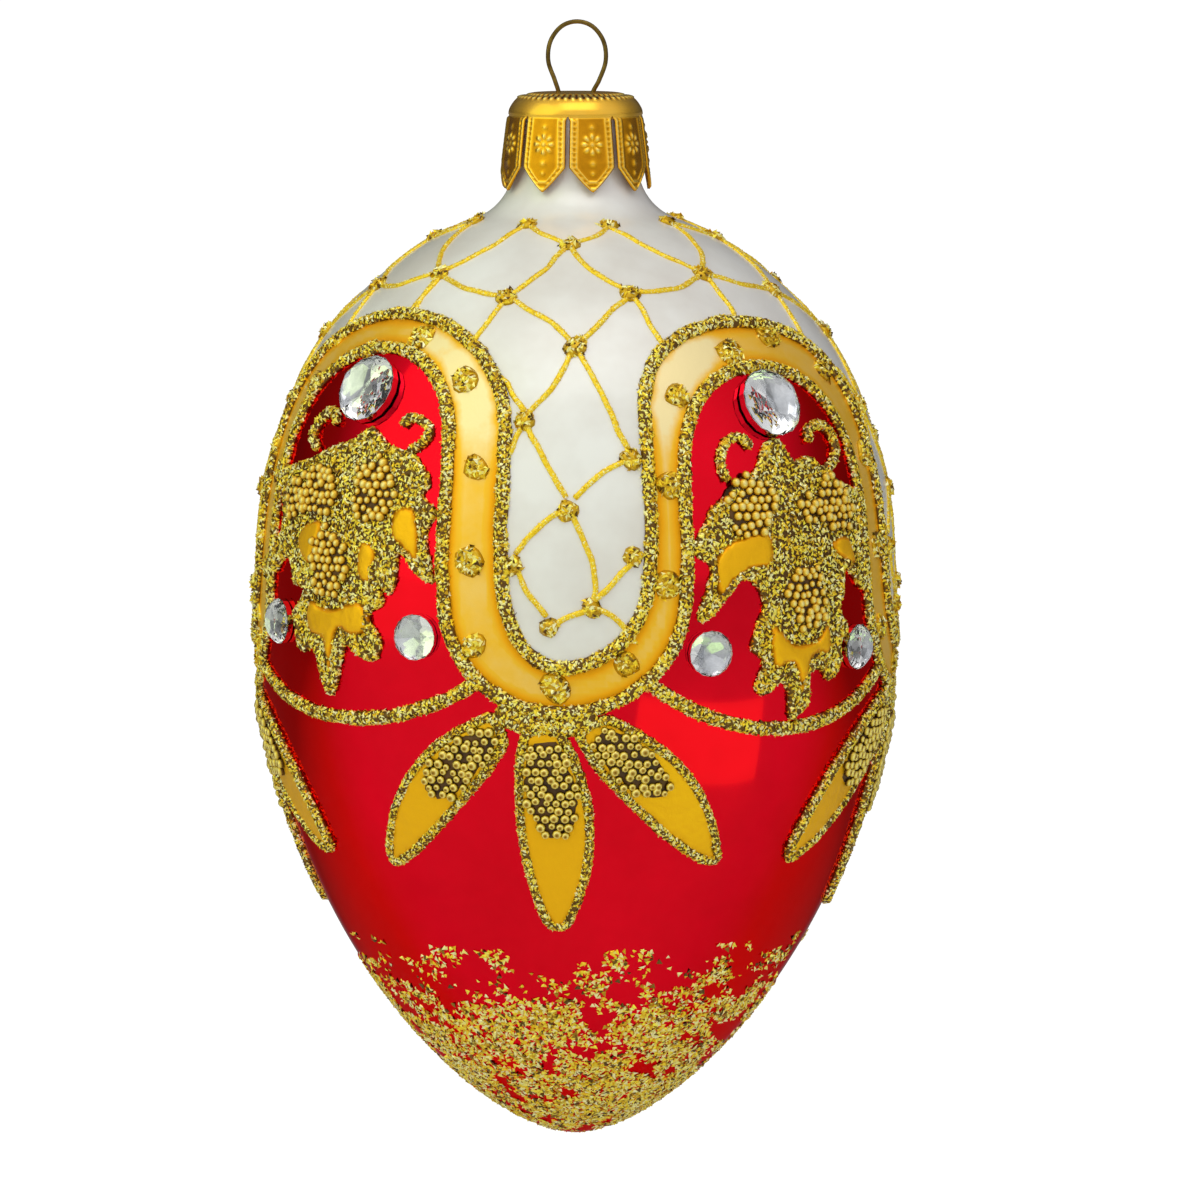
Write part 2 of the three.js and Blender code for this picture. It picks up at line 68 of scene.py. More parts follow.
@dataclass(frozen=True)
class GlassForm:
    """Outline of the blown glass in millimetres, with its axis on Z and azimuth 0 on -Y."""

    equator_radius: float = 39.0
    equator_z: float = -72.0
    upper_height: float = 51.0
    upper_across: float = 1.746
    upper_along: float = 2.627
    lower_height: float = 64.0
    lower_across: float = 1.578
    lower_along: float = 1.857
    neck_radius: float = 7.6
    fillet: float = 7.0
    lip_z: float = -10.3

    @property
    def bottom_z(self) -> float:
        """Height of the lowest point."""
        return self.equator_z - self.lower_height

    def egg_radius(self, z: np.ndarray) -> np.ndarray:
        """Radius of the egg without its neck.

        Args:
            z: heights in millimetres.

        Returns:
            The radii in millimetres.
        """
        z = np.asarray(z, float)
        upper = z > self.equator_z
        share = np.abs(z - self.equator_z) / np.where(upper, self.upper_height, self.lower_height)
        along = np.where(upper, self.upper_along, self.lower_along)
        across = np.where(upper, self.upper_across, self.lower_across)
        rest = np.clip(1 - np.clip(share, 0, 1) ** along, 0, None)
        return self.equator_radius * rest ** (1 / across)

    def fillet_place(self) -> tuple[float, float]:
        """Finds the fillet between egg and neck.

        Returns:
            The height of the fillet's centre, and the height where it leaves the egg.
        """
        search_from, search_step, halvings = -45, 0.01, 40
        heights = np.arange(search_from, self.equator_z + self.upper_height - 0.5, search_step)
        aside = self.egg_radius(heights) - self.neck_radius - self.fillet
        low, high = -24.0, -10.0
        for _ in range(halvings):
            middle = (low + high) / 2
            if np.min(np.hypot(aside, heights - middle)) < self.fillet:
                low = middle
            else:
                high = middle
        touch = heights[np.argmin(np.hypot(aside, heights - high))]
        return high, float(touch)

    def radius(self, z: np.ndarray) -> np.ndarray:
        """Radius of the glass with its fillet and neck.

        Args:
            z: heights in millimetres.

        Returns:
            The radii in millimetres.
        """
        z = np.asarray(z, float)
        centre_z, touch_z = FILLET
        arc = self.fillet ** 2 - np.clip(z - centre_z, -self.fillet, 0) ** 2
        throat = self.neck_radius + self.fillet - np.sqrt(arc)
        return np.where(z > touch_z, throat, self.egg_radius(z))

    def normal(self, z: np.ndarray) -> tuple[np.ndarray, np.ndarray]:
        """Outward direction of the glass.

        Args:
            z: heights in millimetres.

        Returns:
            Its share across and its share up.
        """
        step = 0.04
        slope = (self.radius(np.asarray(z) + step) - self.radius(np.asarray(z) - step)) / (2 * step)
        length = np.hypot(1, slope)
        return 1 / length, -slope / length

    def point(self, azimuth: np.ndarray, z: np.ndarray, lift: np.ndarray = 0.0) -> np.ndarray:
        """Points at a lift above the glass.

        Args:
            azimuth: azimuths in degrees.
            z: heights in millimetres.
            lift: distances out from the glass in millimetres.

        Returns:
            An array of points in metres.
        """
        across, up = self.normal(z)
        radius = self.radius(z) + across * lift
        angle = np.radians(azimuth)
        return np.stack([radius * np.sin(angle), -radius * np.cos(angle), z + up * lift], -1) * MM

    def outward(self, azimuth: np.ndarray, z: np.ndarray) -> np.ndarray:
        """Unit vectors that point straight out of the glass.

        Args:
            azimuth: azimuths in degrees.
            z: heights in millimetres.

        Returns:
            An array of unit vectors.
        """
        across, up = self.normal(z)
        angle = np.radians(azimuth)
        return np.stack([across * np.sin(angle), -across * np.cos(angle), up + 0 * angle], -1)


GLASS = GlassForm()
FILLET = GLASS.fillet_place()


# Layout of the decoration

@dataclass(frozen=True)
class Panel:
    """A crimson panel: the tops of its two arches, its stones and its swag."""

    azimuth: float
    upper_top: float
    lower_top: float
    stone_z: float
    side_stones: tuple[Place, Place]
    swag_z: float
    squareness: tuple[float, float]


@dataclass(frozen=True)
class Valley:
    """A white valley between two panels, with the half widths of its borders to the left and right."""

    azimuth: float
    inner: tuple[float, float]
    outer: tuple[float, float]


@dataclass(frozen=True)
class Bow:
    """Half of a flattened arch, as degrees across and millimetres down from its crown."""

    depth: float
    squareness: float

    def at(self, angle: float, half_width: float) -> Place:
        """Place on the bow.

        Args:
            angle: 0 at the crown and 90 at the springing.
            half_width: half the arch's width in degrees of azimuth.

        Returns:
            Degrees across and millimetres down.
        """
        turn = math.radians(angle)
        rise = max(0.0, math.cos(turn)) ** (2 / self.squareness)
        return half_width * math.sin(turn), self.depth * (1 - rise)


PANELS = (
    Panel(-45.9, -34.3, -38.2, -43.3, ((-18.2, -71.4), (17.2, -71.8)), -82.1, (3.6, 3.0)),
    Panel(41.4, -35.1, -40.3, -44.8, ((-17.4, -73.6), (17.6, -74.2)), -83.2, (4.8, 3.6)),
    Panel(132.4, -34.6, -38.9, -43.8, ((-18.1, -72.3), (17.3, -72.6)), -82.5, (3.4, 3.8)),
    Panel(223.2, -34.9, -39.6, -44.4, ((-17.5, -72.9), (17.9, -72.4)), -82.8, (3.9, 3.3)),
)
VALLEYS = (
    Valley(-2.6, (10.6, 16.2), (21.4, 22.7)),
    Valley(86.2, (13.2, 14.8), (22.6, 22.9)),
    Valley(177.6, (14.1, 13.9), (22.6, 22.3)),
    Valley(268.3, (14.4, 13.0), (22.9, 22.2)),
)
INNER_VALLEY = (-75.1, Bow(15, 2.6))
OUTER_VALLEY = (-80.5, Bow(17, 2.5))
UPPER_ARCH_DEPTH = 17.0
LOWER_ARCH_DEPTH = 21.5
LOWER_ARCH_SQUARENESS = 4.5
SWAG_MEETS = 42.0
SWAG_SHARES = (-1, -0.75, -0.4, 0, 0.4, 0.75, 1)
SWAG_SQUARENESS = 2.2
BORDER_STEP = 0.6
ARCH_ANGLES = (0, 24, 45, 62, 78, 90)
VALLEY_ANGLES = (90, 68, 45, 22, 0, -22, -45, -68, -90)


def turn_between(start: float | np.ndarray, end: float | np.ndarray) -> float | np.ndarray:
    """Signed turns in degrees from one azimuth to another, at most half a circle."""
    return (end - start + 180) % 360 - 180


class BorderKind(Enum):
    """The two ropes that edge the gold band."""

    UPPER = "upper"
    LOWER = "lower"


def border_places(kind: BorderKind) -> list[Place]:
    """Places of one border, all round the egg.

    Args:
        kind: which border.

    Returns:
        Azimuths and heights, over each panel and under each valley.
    """
    upper = kind is BorderKind.UPPER
    valley_z, valley_bow = INNER_VALLEY if upper else OUTER_VALLEY
    places: list[Place] = []
    for i, (panel, valley) in enumerate(zip(PANELS, VALLEYS)):
        following = PANELS[(i + 1) % len(PANELS)]
        next_azimuth = following.azimuth + (360 if i == len(PANELS) - 1 else 0)
        left, right = valley.inner if upper else valley.outer

        def arch(owner: Panel, side: int, angle: float, width: float) -> Place:
            """Degrees from a panel's middle, and height, of a place on its arch."""
            depth = UPPER_ARCH_DEPTH if upper else LOWER_ARCH_DEPTH
            squareness = owner.squareness[side] if upper else LOWER_ARCH_SQUARENESS
            top = owner.upper_top if upper else owner.lower_top
            aside, down = Bow(depth, squareness).at(angle, width)
            return aside, top - down

        width = valley.azimuth - left - panel.azimuth
        for angle in ARCH_ANGLES:
            aside, z = arch(panel, 1, angle, width)
            places.append((panel.azimuth + aside, z))
        for angle in VALLEY_ANGLES:
            aside, up = valley_bow.at(abs(angle), left if angle > 0 else right)
            places.append((valley.azimuth - math.copysign(aside, angle), valley_z + up))
        width = next_azimuth - valley.azimuth - right
        for angle in ARCH_ANGLES[:0:-1]:
            aside, z = arch(following, 0, angle, width)
            places.append((next_azimuth - aside, z))
    return places


def swag_places(index: int) -> list[Place]:
    """Places of the swag that closes a panel below.

    Args:
        index: the panel's number from 0.

    Returns:
        Azimuths and heights from left to right.
    """
    panel = PANELS[index]
    z, bow = OUTER_VALLEY
    ends = []
    for side, valley in enumerate((VALLEYS[index - 1], VALLEYS[index])):
        aside, up = bow.at(SWAG_MEETS, valley.outer[1 - side])
        reach = turn_between(panel.azimuth, valley.azimuth) + (aside if side == 0 else -aside)
        ends.append((reach, z + up))
    places = []
    for share in SWAG_SHARES:
        reach, end_z = ends[0 if share < 0 else 1]
        drop = (panel.swag_z - end_z) * (1 - abs(share) ** SWAG_SQUARENESS)
        places.append((panel.azimuth + abs(share) * reach, end_z + drop))
    return places


# Curves and meshes on the glass

SPAN_SAMPLES = 24
BASE_TONE = 0.2
ROPE_SECTION = (
    (-0.5, -0.1), (-0.47, 0.3), (-0.36, 0.66), (-0.19, 0.91), (0.0, 1.0),
    (0.19, 0.91), (0.36, 0.66), (0.47, 0.3), (0.5, -0.1),
)
WIDTH_SWING = 0.14
WIDTH_WAVES = 0.55
PATH_WAVES = 0.35
PLATE_MARGIN = 0.45
PLATE_FOOT = 0.12
KNOT_SIDES = 14


def smooth_path(points: np.ndarray, closed: bool, step: float) -> np.ndarray:
    """Centripetal curve through points, sampled at even steps.

    Args:
        points: an array of points.
        closed: whether the curve returns to its start.
        step: distance between samples, in the points' unit.

    Returns:
        The sampled points, without a repeat of the first on a closed curve.
    """
    if closed:
        padded = np.concatenate([points[-1:], points, points[:2]])
    else:
        padded = np.concatenate([2 * points[:1] - points[1:2], points, 2 * points[-1:] - points[-2:-1]])
    dense = []
    shares = np.linspace(0, 1, SPAN_SAMPLES, endpoint=False)[:, None]
    for p0, p1, p2, p3 in zip(padded, padded[1:], padded[2:], padded[3:]):
        t1 = max(np.linalg.norm(p1 - p0), 1e-9) ** 0.5
        t2 = t1 + max(np.linalg.norm(p2 - p1), 1e-9) ** 0.5
        t3 = t2 + max(np.linalg.norm(p3 - p2), 1e-9) ** 0.5
        t = t1 + (t2 - t1) * shares
        a1 = (t1 - t) / t1 * p0 + t / t1 * p1
        a2 = (t2 - t) / (t2 - t1) * p1 + (t - t1) / (t2 - t1) * p2
        a3 = (t3 - t) / (t3 - t2) * p2 + (t - t2) / (t3 - t2) * p3
        b1 = (t2 - t) / t2 * a1 + t / t2 * a2
        b2 = (t3 - t) / (t3 - t1) * a2 + (t - t1) / (t3 - t1) * a3
        dense.append((t2 - t) / (t2 - t1) * b1 + (t - t1) / (t2 - t1) * b2)
    dense = np.concatenate(dense + [points[:1] if closed else points[-1:]])
    lengths = np.concatenate([[0], np.cumsum(np.linalg.norm(np.diff(dense, axis=0), axis=1))])
    count = max(2, round(lengths[-1] / step))
    wanted = np.linspace(0, lengths[-1], count + 1)
    even = np.stack([np.interp(wanted, lengths, dense[:, k]) for k in range(dense.shape[1])], -1)
    return even[:-1] if closed else even


def route(places: Sequence[Place], step: float, closed: bool = False) -> np.ndarray:
    """Stations along a curve through places on the glass.

    Args:
        places: azimuths and heights.
        step: distance between stations in millimetres.
        closed: whether the curve goes all round.

    Returns:
        An array of azimuths in degrees and heights in millimetres.
    """
    chart = np.array(places, float)
    points = GLASS.point(chart[:, 0], chart[:, 1]) / MM
    samples = smooth_path(points, closed, step)
    azimuth = np.degrees(np.arctan2(samples[:, 0], -samples[:, 1]))
    return np.stack([azimuth, samples[:, 2]], -1)


def wander(stations: np.ndarray, seed: float, scale: float) -> np.ndarray:
    """Slow random values along a route, from -1 to 1.

    Args:
        stations: the route's stations.
        seed: picks the values.
        scale: how fast they change, per millimetre.

    Returns:
        One value a station.
    """
    points = GLASS.point(stations[:, 0], stations[:, 1]) / MM * scale
    return np.array([noise.noise(Vector(p) + Vector((seed, seed * 0.7, -seed))) for p in points])


def placed(mesh: bpy.types.Mesh, smooth: bool = False) -> bpy.types.Object:
    """Object of a mesh at the origin, with the mesh's name, shaded smooth or flat."""
    mesh.polygons.foreach_set("use_smooth", [smooth] * len(mesh.polygons))
    thing = bpy.data.objects.new(mesh.name, mesh)
    bpy.context.scene.collection.objects.link(thing)
    return thing


@dataclass
class Shape:
    """Vertices in metres, faces, and the outward direction and other values at each vertex."""

    vertices: np.ndarray
    faces: list[tuple[int, ...]]
    outward: np.ndarray
    values: dict[str, np.ndarray] = field(default_factory=dict)

    def joined(self, others: Iterable["Shape"]) -> "Shape":
        """Joins shapes.

        Args:
            others: the shapes to add to this one.

        Returns:
            One shape, with the values that all of them have.
        """
        shapes = [self, *others]
        faces: list[tuple[int, ...]] = []
        start = 0
        for shape in shapes:
            faces.extend(tuple(start + i for i in face) for face in shape.faces)
            start += len(shape.vertices)
        names = set.intersection(*(set(shape.values) for shape in shapes))
        return Shape(
            np.concatenate([shape.vertices for shape in shapes]),
            faces,
            np.concatenate([shape.outward for shape in shapes]),
            {name: np.concatenate([shape.values[name] for shape in shapes]) for name in sorted(names)},
        )

    def made(self, name: str, smooth: bool = True) -> bpy.types.Object:
        """Makes a mesh object of the shape.

        Args:
            name: the object's name.
            smooth: whether its faces are shaded smooth.

        Returns:
            The object, at the origin.
        """
        mesh = bpy.data.meshes.new(name)
        mesh.from_pydata([tuple(v) for v in self.vertices], [], self.faces)
        out = mesh.attributes.new("out", "FLOAT_VECTOR", "POINT")
        out.data.foreach_set("vector", np.asarray(self.outward, np.float32).ravel())
        for key, values in self.values.items():
            layer = mesh.attributes.new(key, "FLOAT", "POINT")
            layer.data.foreach_set("value", np.asarray(values, np.float32).ravel())
        mesh.validate()
        return placed(mesh, smooth)

    def without_loose(self) -> "Shape":
        """Drops the vertices that no face uses.

        Returns:
            The shape without them.
        """
        used = sorted({i for face in self.faces for i in face})
        place = {old: new for new, old in enumerate(used)}
        faces = [tuple(place[i] for i in face) for face in self.faces]
        values = {name: array[used] for name, array in self.values.items()}
        return Shape(self.vertices[used], faces, self.outward[used], values)


def beside(stations: np.ndarray, aside: np.ndarray, closed: bool) -> np.ndarray:
    """Line that runs beside stations on the glass.

    Args:
        stations: azimuths and heights of a line.
        aside: how far to its right the new line runs, in millimetres.
        closed: whether it goes all round.

    Returns:
        Azimuths and heights.
    """
    if closed:
        before, after = np.roll(stations, 1, 0), np.roll(stations, -1, 0)
    else:
        before = np.concatenate([stations[:1], stations[:-1]])
        after = np.concatenate([stations[1:], stations[-1:]])
    radius = GLASS.radius(stations[:, 1])
    stretch = 1 / GLASS.normal(stations[:, 1])[0]
    run = radius * np.radians(turn_between(before[:, 0], after[:, 0]))
    rise = stretch * (after[:, 1] - before[:, 1])
    length = np.maximum(np.hypot(run, rise), 1e-9)
    azimuth = stations[:, 0] + np.degrees(aside * rise / (length * radius))
    return np.stack([azimuth, stations[:, 1] - aside * run / (length * stretch)], -1)


def band(upper: int, lower: int, count: int) -> list[tuple[int, ...]]:
    """Faces between two closed rows of a number of vertices, given the rows' own numbers."""
    pairs = [(j, (j + 1) % count) for j in range(count)]
    return [(upper * count + j, lower * count + j, lower * count + k, upper * count + k) for j, k in pairs]


def base_values(count: int) -> dict[str, np.ndarray]:
    """Full cover of glitter and the plain tone, for a number of vertices."""
    return {"cover": np.ones(count), "tone": np.full(count, BASE_TONE)}


def sweep(stations: np.ndarray, width: np.ndarray, height: float, closed: bool, lift: float = 0.0) -> Shape:
    """Low round rope that follows stations on the glass.

    Args:
        stations: azimuths and heights of its centre line.
        width: its width at each station in millimetres.
        height: its height in millimetres.
        closed: whether it goes all round.
        lift: how far its foot stands off the glass in millimetres.

    Returns:
        A closed shape.
    """
    count, ring = len(stations), len(ROPE_SECTION)
    vertices, outward = [], []
    for share, up in ROPE_SECTION:
        line = beside(stations, share * width, closed)
        vertices.append(GLASS.point(line[:, 0], line[:, 1], lift + up * height * np.clip(width, 0, 1)))
        outward.append(GLASS.outward(line[:, 0], line[:, 1]))
    vertices = np.stack(vertices, 1).reshape(-1, 3)
    outward = np.stack(outward, 1).reshape(-1, 3)
    faces: list[tuple[int, ...]] = []
    for i in range(count if closed else count - 1):
        near, far = i * ring, (i + 1) % count * ring
        for j in range(ring):
            k = (j + 1) % ring
            faces.append((near + j, near + k, far + k, far + j))
    if not closed:
        faces.append(tuple(reversed(range(ring))))
        faces.append(tuple((count - 1) * ring + j for j in range(ring)))
    return Shape(vertices, faces, outward, base_values(len(vertices)))


def rope(places: Sequence[Place], width: float, height: float, seed: float, closed: bool = False,
         step: float = 0.55, lift: float = 0.0, swing: float = 0.12) -> Shape:
    """Hand-drawn raised line with a slightly uneven width and path.

    Args:
        places: azimuths and heights that it passes.
        width: its mean width in millimetres.
        height: its height in millimetres.
        seed: picks its unevenness.
        closed: whether it goes all round.
        step: distance between stations in millimetres.
        lift: how far its foot stands off the glass in millimetres.
        swing: how far its path strays in millimetres.

    Returns:
        A closed shape.
    """
    stations = route(places, step, closed)
    widths = width * (1 + WIDTH_SWING * wander(stations, seed, WIDTH_WAVES))
    stray = swing * wander(stations, seed + 9, PATH_WAVES)
    stations = stations.copy()
    stations[:, 0] += np.degrees(stray / GLASS.radius(stations[:, 1]))
    stations[:, 1] += swing * wander(stations, seed + 17, PATH_WAVES)
    return sweep(stations, widths, height, closed, lift)


@dataclass(frozen=True)
class Chart:
    """Flat map in millimetres of a patch of the glass, with the patch's outline on it."""

    middle: float
    outline: np.ndarray

    @classmethod
    def of(cls, outline: np.ndarray) -> "Chart":
        """The chart of an outline of azimuths and heights."""
        middle = float(np.mean(outline[:, 0]))
        across = np.radians(outline[:, 0] - middle) * GLASS.radius(outline[:, 1])
        return cls(middle, np.stack([across, outline[:, 1]], -1))

    def back(self, places: np.ndarray) -> tuple[np.ndarray, np.ndarray]:
        """Azimuths and heights of places on the chart."""
        return self.middle + np.degrees(places[:, 0] / GLASS.radius(places[:, 1])), places[:, 1]

    def grid(self, spacing: float) -> np.ndarray:
        """Places in staggered rows over the outline's box.

        Args:
            spacing: distance between places in millimetres.

        Returns:
            The places.
        """
        low, high = self.outline.min(0), self.outline.max(0)
        places = []
        for row, v in enumerate(np.arange(low[1], high[1], spacing * 0.87)):
            for u in np.arange(low[0], high[0], spacing) + (spacing / 2 if row % 2 else 0):
                places.append((u, v))
        return np.array(places)

    def inside(self, places: np.ndarray) -> tuple[np.ndarray, np.ndarray]:
        """Tests places against the outline.

        Args:
            places: places on the chart.

        Returns:
            Whether each lies inside, and how far it is from the outline.
        """
        inside = np.zeros(len(places), bool)
        distance = np.full(len(places), 1e9)
        for (ax, ay), (bx, by) in zip(self.outline, np.roll(self.outline, -1, 0)):
            crosses = (ay > places[:, 1]) != (by > places[:, 1])
            at = (bx - ax) * (places[:, 1] - ay) / (by - ay if by != ay else 1e-12) + ax
            inside ^= crosses & (places[:, 0] < at)
            along = np.array((bx - ax, by - ay))
            share = np.clip(((places - (ax, ay)) @ along) / max(along @ along, 1e-12), 0, 1)
            apart = places - (ax, ay) - share[:, None] * along
            distance = np.minimum(distance, np.linalg.norm(apart, axis=1))
        return inside, distance


def outline_plate(outline: np.ndarray, height: float, edge: float, spacing: float,
                  lift: float = 0.0) -> Shape:
    """Low plate with a rounded rim that follows the glass inside an outline.

    Args:
        outline: azimuths in degrees and heights in millimetres of the closed outline.
        height: the plate's height in millimetres.
        edge: width of its rounded rim in millimetres.
        spacing: distance between the points inside it in millimetres.
        lift: how far its foot stands off the glass in millimetres.

    Returns:
        A closed shape, with the distance from the rim stored as rim.
    """
    chart = Chart.of(outline)
    grid = chart.grid(spacing)
    inside, distance = chart.inside(grid)
    keep = inside & (distance > spacing * PLATE_MARGIN)
    flat = chart.outline
    points = np.concatenate([flat, grid[keep]])
    rim = np.concatenate([np.zeros(len(flat)), distance[keep]])
    inside_only, merge_distance = 1, 1e-6
    found = delaunay_2d_cdt([Vector(p) for p in points], [], [list(range(len(flat)))], inside_only,
                            merge_distance)
    triangles = [tuple(face) for face in found[2]]
    points = np.array([tuple(p) for p in found[0]])
    rim = np.array([rim[sources[0]] if sources else 0.0 for sources in found[3]])
    azimuth, z = chart.back(points)
    swell = np.sqrt(np.clip(1 - (1 - np.clip(rim / edge, 0, 1)) ** 2, 0, 1))
    top = GLASS.point(azimuth, z, lift + height * swell)
    under = GLASS.point(azimuth, z, np.where(rim > 0, lift - PLATE_FOOT, lift))
    count = len(points)
    on_rim = rim <= 0
    beneath = np.where(on_rim, np.arange(count), np.arange(count) + count)
    faces: list[tuple[int, ...]] = []
    for face in triangles:
        a, b, c = (points[i] for i in face)
        turn = (b[0] - a[0]) * (c[1] - a[1]) - (b[1] - a[1]) * (c[0] - a[0])
        ordered = face if turn > 0 else face[::-1]
        faces.append(ordered)
        lower = tuple(int(beneath[i]) for i in reversed(ordered))
        if not all(on_rim[i] for i in ordered):
            faces.append(lower)
    outward = GLASS.outward(azimuth, z)
    values = {"rim": np.concatenate([rim, rim]), **base_values(2 * count)}
    shape = Shape(np.concatenate([top, under]), faces, np.concatenate([outward, outward]), values)
    return shape.without_loose()


def circle_outline(azimuth: float, z: float, radius: float, sides: int, seed: float, uneven: float,
                   tall: float = 1.0) -> np.ndarray:
    """Slightly uneven round outline on the glass.

    Args:
        azimuth: azimuth of its middle in degrees.
        z: height of its middle in millimetres.
        radius: its half width in millimetres.
        sides: how many points it has.
        seed: picks its unevenness.
        uneven: share of the radius by which it varies.
        tall: its height as a share of its width.

    Returns:
        Azimuths and heights.
    """
    turns = np.linspace(0, 2 * math.pi, sides, endpoint=False)
    wobble = np.array([noise.noise(Vector((math.cos(t), math.sin(t), seed))) for t in turns])
    reach = radius * (1 + uneven * wobble)
    scale = float(GLASS.radius(z))
    stretch = float(1 / GLASS.normal(z)[0])
    return np.stack([
        azimuth + np.degrees(reach * np.cos(turns) / scale),
        z + reach * tall * np.sin(turns) / stretch,
    ], -1)


def knot(azimuth: float, z: float, radius: float, height: float, seed: float) -> Shape:
    """Round lump of glitter on the glass."""
    outline = circle_outline(azimuth, z, radius, KNOT_SIDES, seed, 0.3)
    return outline_plate(outline, height, radius * 0.95, 0.5)


# Materials

@dataclass
class MaterialMaker:
    """Node tree of one material with its principled shader."""

    name: str
    material: bpy.types.Material = field(init=False)
    shader: bpy.types.Node = field(init=False)

    def __post_init__(self) -> None:
        """Starts the material with only a shader and its output."""
        self.material = bpy.data.materials.new(self.name)
        self.material.use_nodes = True
        self.shader = next(n for n in self.material.node_tree.nodes if n.type == "BSDF_PRINCIPLED")

    def set(self, values: dict[str, float | tuple[float, ...]]) -> None:
        """Sets plain values on the shader's sockets, with colours as three numbers."""
        for key, value in values.items():
            self.shader.inputs[key].default_value = (*value, 1.0) if isinstance(value, tuple) else value

    def add(self, kind: str, settings: dict[str, object] | None = None, **plugs: object) -> bpy.types.Node:
        """Adds a node, as add_node does."""
        return add_node(self.material.node_tree, kind, settings, plugs)

    def link(self, source: bpy.types.NodeSocket, target: str) -> None:
        """Leads a socket to one of the shader's inputs."""
        self.material.node_tree.links.new(source, self.shader.inputs[target])

    def attribute(self, name: str) -> bpy.types.NodeSocket:
        """Value of one of the mesh's attributes."""
        return self.add("ShaderNodeAttribute", {"attribute_name": name}).outputs["Fac"]

    def scaled(self, value: object, factor: object, offset: object = 0.0) -> bpy.types.NodeSocket:
        """A value times a factor plus an offset, each a number or a socket."""
        return scaled_sum(self.material.node_tree, value, factor, offset)

    def bump(self, height: bpy.types.NodeSocket, strength: float, distance: float) -> None:
        """Raises the surface by a height, with the distance in millimetres."""
        node = self.add("ShaderNodeBump", Strength=strength, Distance=distance * MM, Height=height)
        self.link(node.outputs["Normal"], "Normal")

    def ramp(self, factor: bpy.types.NodeSocket, stops: Sequence[tuple[float, str]]) -> bpy.types.NodeSocket:
        """Colour ramp.

        Args:
            factor: what it reads.
            stops: places from 0 to 1 and colours as hexadecimal numbers.

        Returns:
            Its colour socket.
        """
        colours = [(place, linear(colour)) for place, colour in stops]
        return colour_ramp(self.material.node_tree, factor, colours)


def add_node(tree: bpy.types.NodeTree, kind: str, settings: dict[str, object] | None,
             plugs: dict[str, object]) -> bpy.types.Node:
    """Adds a node to a tree and fills its inputs.

    Args:
        tree: the node tree.
        kind: the node's type.
        settings: its properties.
        plugs: values or sockets for its inputs, with underscores for spaces.

    Returns:
        The node.
    """
    node = tree.nodes.new(kind)
    for key, value in (settings or {}).items():
        setattr(node, key, value)
    for key, value in plugs.items():
        by_identifier = [s for s in node.inputs if s.identifier == key]
        socket = by_identifier[0] if by_identifier else node.inputs[key.replace("_", " ")]
        if isinstance(value, bpy.types.NodeSocket):
            tree.links.new(value, socket)
        else:
            socket.default_value = value
    return node


def scaled_sum(tree: bpy.types.NodeTree, value: object, factor: object,
               offset: object) -> bpy.types.NodeSocket:
    """A value times a factor plus an offset, each a number or a socket."""
    plugs = {"Value": value, "Value_001": factor, "Value_002": offset}
    return add_node(tree, "ShaderNodeMath", {"operation": "MULTIPLY_ADD"}, plugs).outputs[0]


def colour_ramp(tree: bpy.types.NodeTree, factor: bpy.types.NodeSocket,
                stops: Sequence[tuple[float, tuple[float, float, float]]]) -> bpy.types.NodeSocket:
    """Adds a colour ramp to a tree.

    Args:
        tree: the node tree.
        factor: what the ramp reads.
        stops: rising places from 0 to 1, and linear colours.

    Returns:
        Its colour socket.
    """
    node = add_node(tree, "ShaderNodeValToRGB", None, {"Fac": factor})
    elements = node.color_ramp.elements
    elements[0].position, elements[-1].position = stops[0][0], stops[-1][0]
    for place, _ in stops[1:-1]:
        elements.new(place)
    for element, (_, colour) in zip(elements, stops):
        element.color = (*colour, 1)
    return node.outputs["Color"]


def linear(colour: str) -> tuple[float, float, float]:
    """Linear light values of a colour.

    Args:
        colour: six hexadecimal digits.

    Returns:
        Its red, green and blue.
    """
    shares = [int(colour[i:i + 2], 16) / 255 for i in (0, 2, 4)]
    red, green, blue = (s / 12.92 if s <= 0.04045 else ((s + 0.055) / 1.055) ** 2.4 for s in shares)
    return red, green, blue


GRAIN_FINENESS = 7.0


def mottle_group() -> bpy.types.NodeTree:
    """Shader node group that puts out uneven values and fine grain over a surface.

    Returns:
        The group, with inputs Vector and Scale, and outputs Mottle and Grain.
    """
    group = bpy.data.node_groups.new("Mottle", "ShaderNodeTree")
    for name, side, kind in (("Vector", "INPUT", "Vector"), ("Scale", "INPUT", "Float"),
                             ("Mottle", "OUTPUT", "Float"), ("Grain", "OUTPUT", "Float")):
        group.interface.new_socket(name, in_out=side, socket_type=f"NodeSocket{kind}")
    entry, leave = group.nodes.new("NodeGroupInput"), group.nodes.new("NodeGroupOutput")
    place, scale = entry.outputs["Vector"], entry.outputs["Scale"]
    finer = scaled_sum(group, scale, GRAIN_FINENESS, 0.0)
    for name, waves, detail, roughness in (("Mottle", scale, 4.0, 0.6), ("Grain", finer, 3.0, 0.7)):
        noise_node = add_node(group, "ShaderNodeTexNoise", None, {
            "Vector": place, "Scale": waves, "Detail": detail, "Roughness": roughness})
        group.links.new(noise_node.outputs["Fac"], leave.inputs[name])
    return group


MOTTLE = mottle_group()


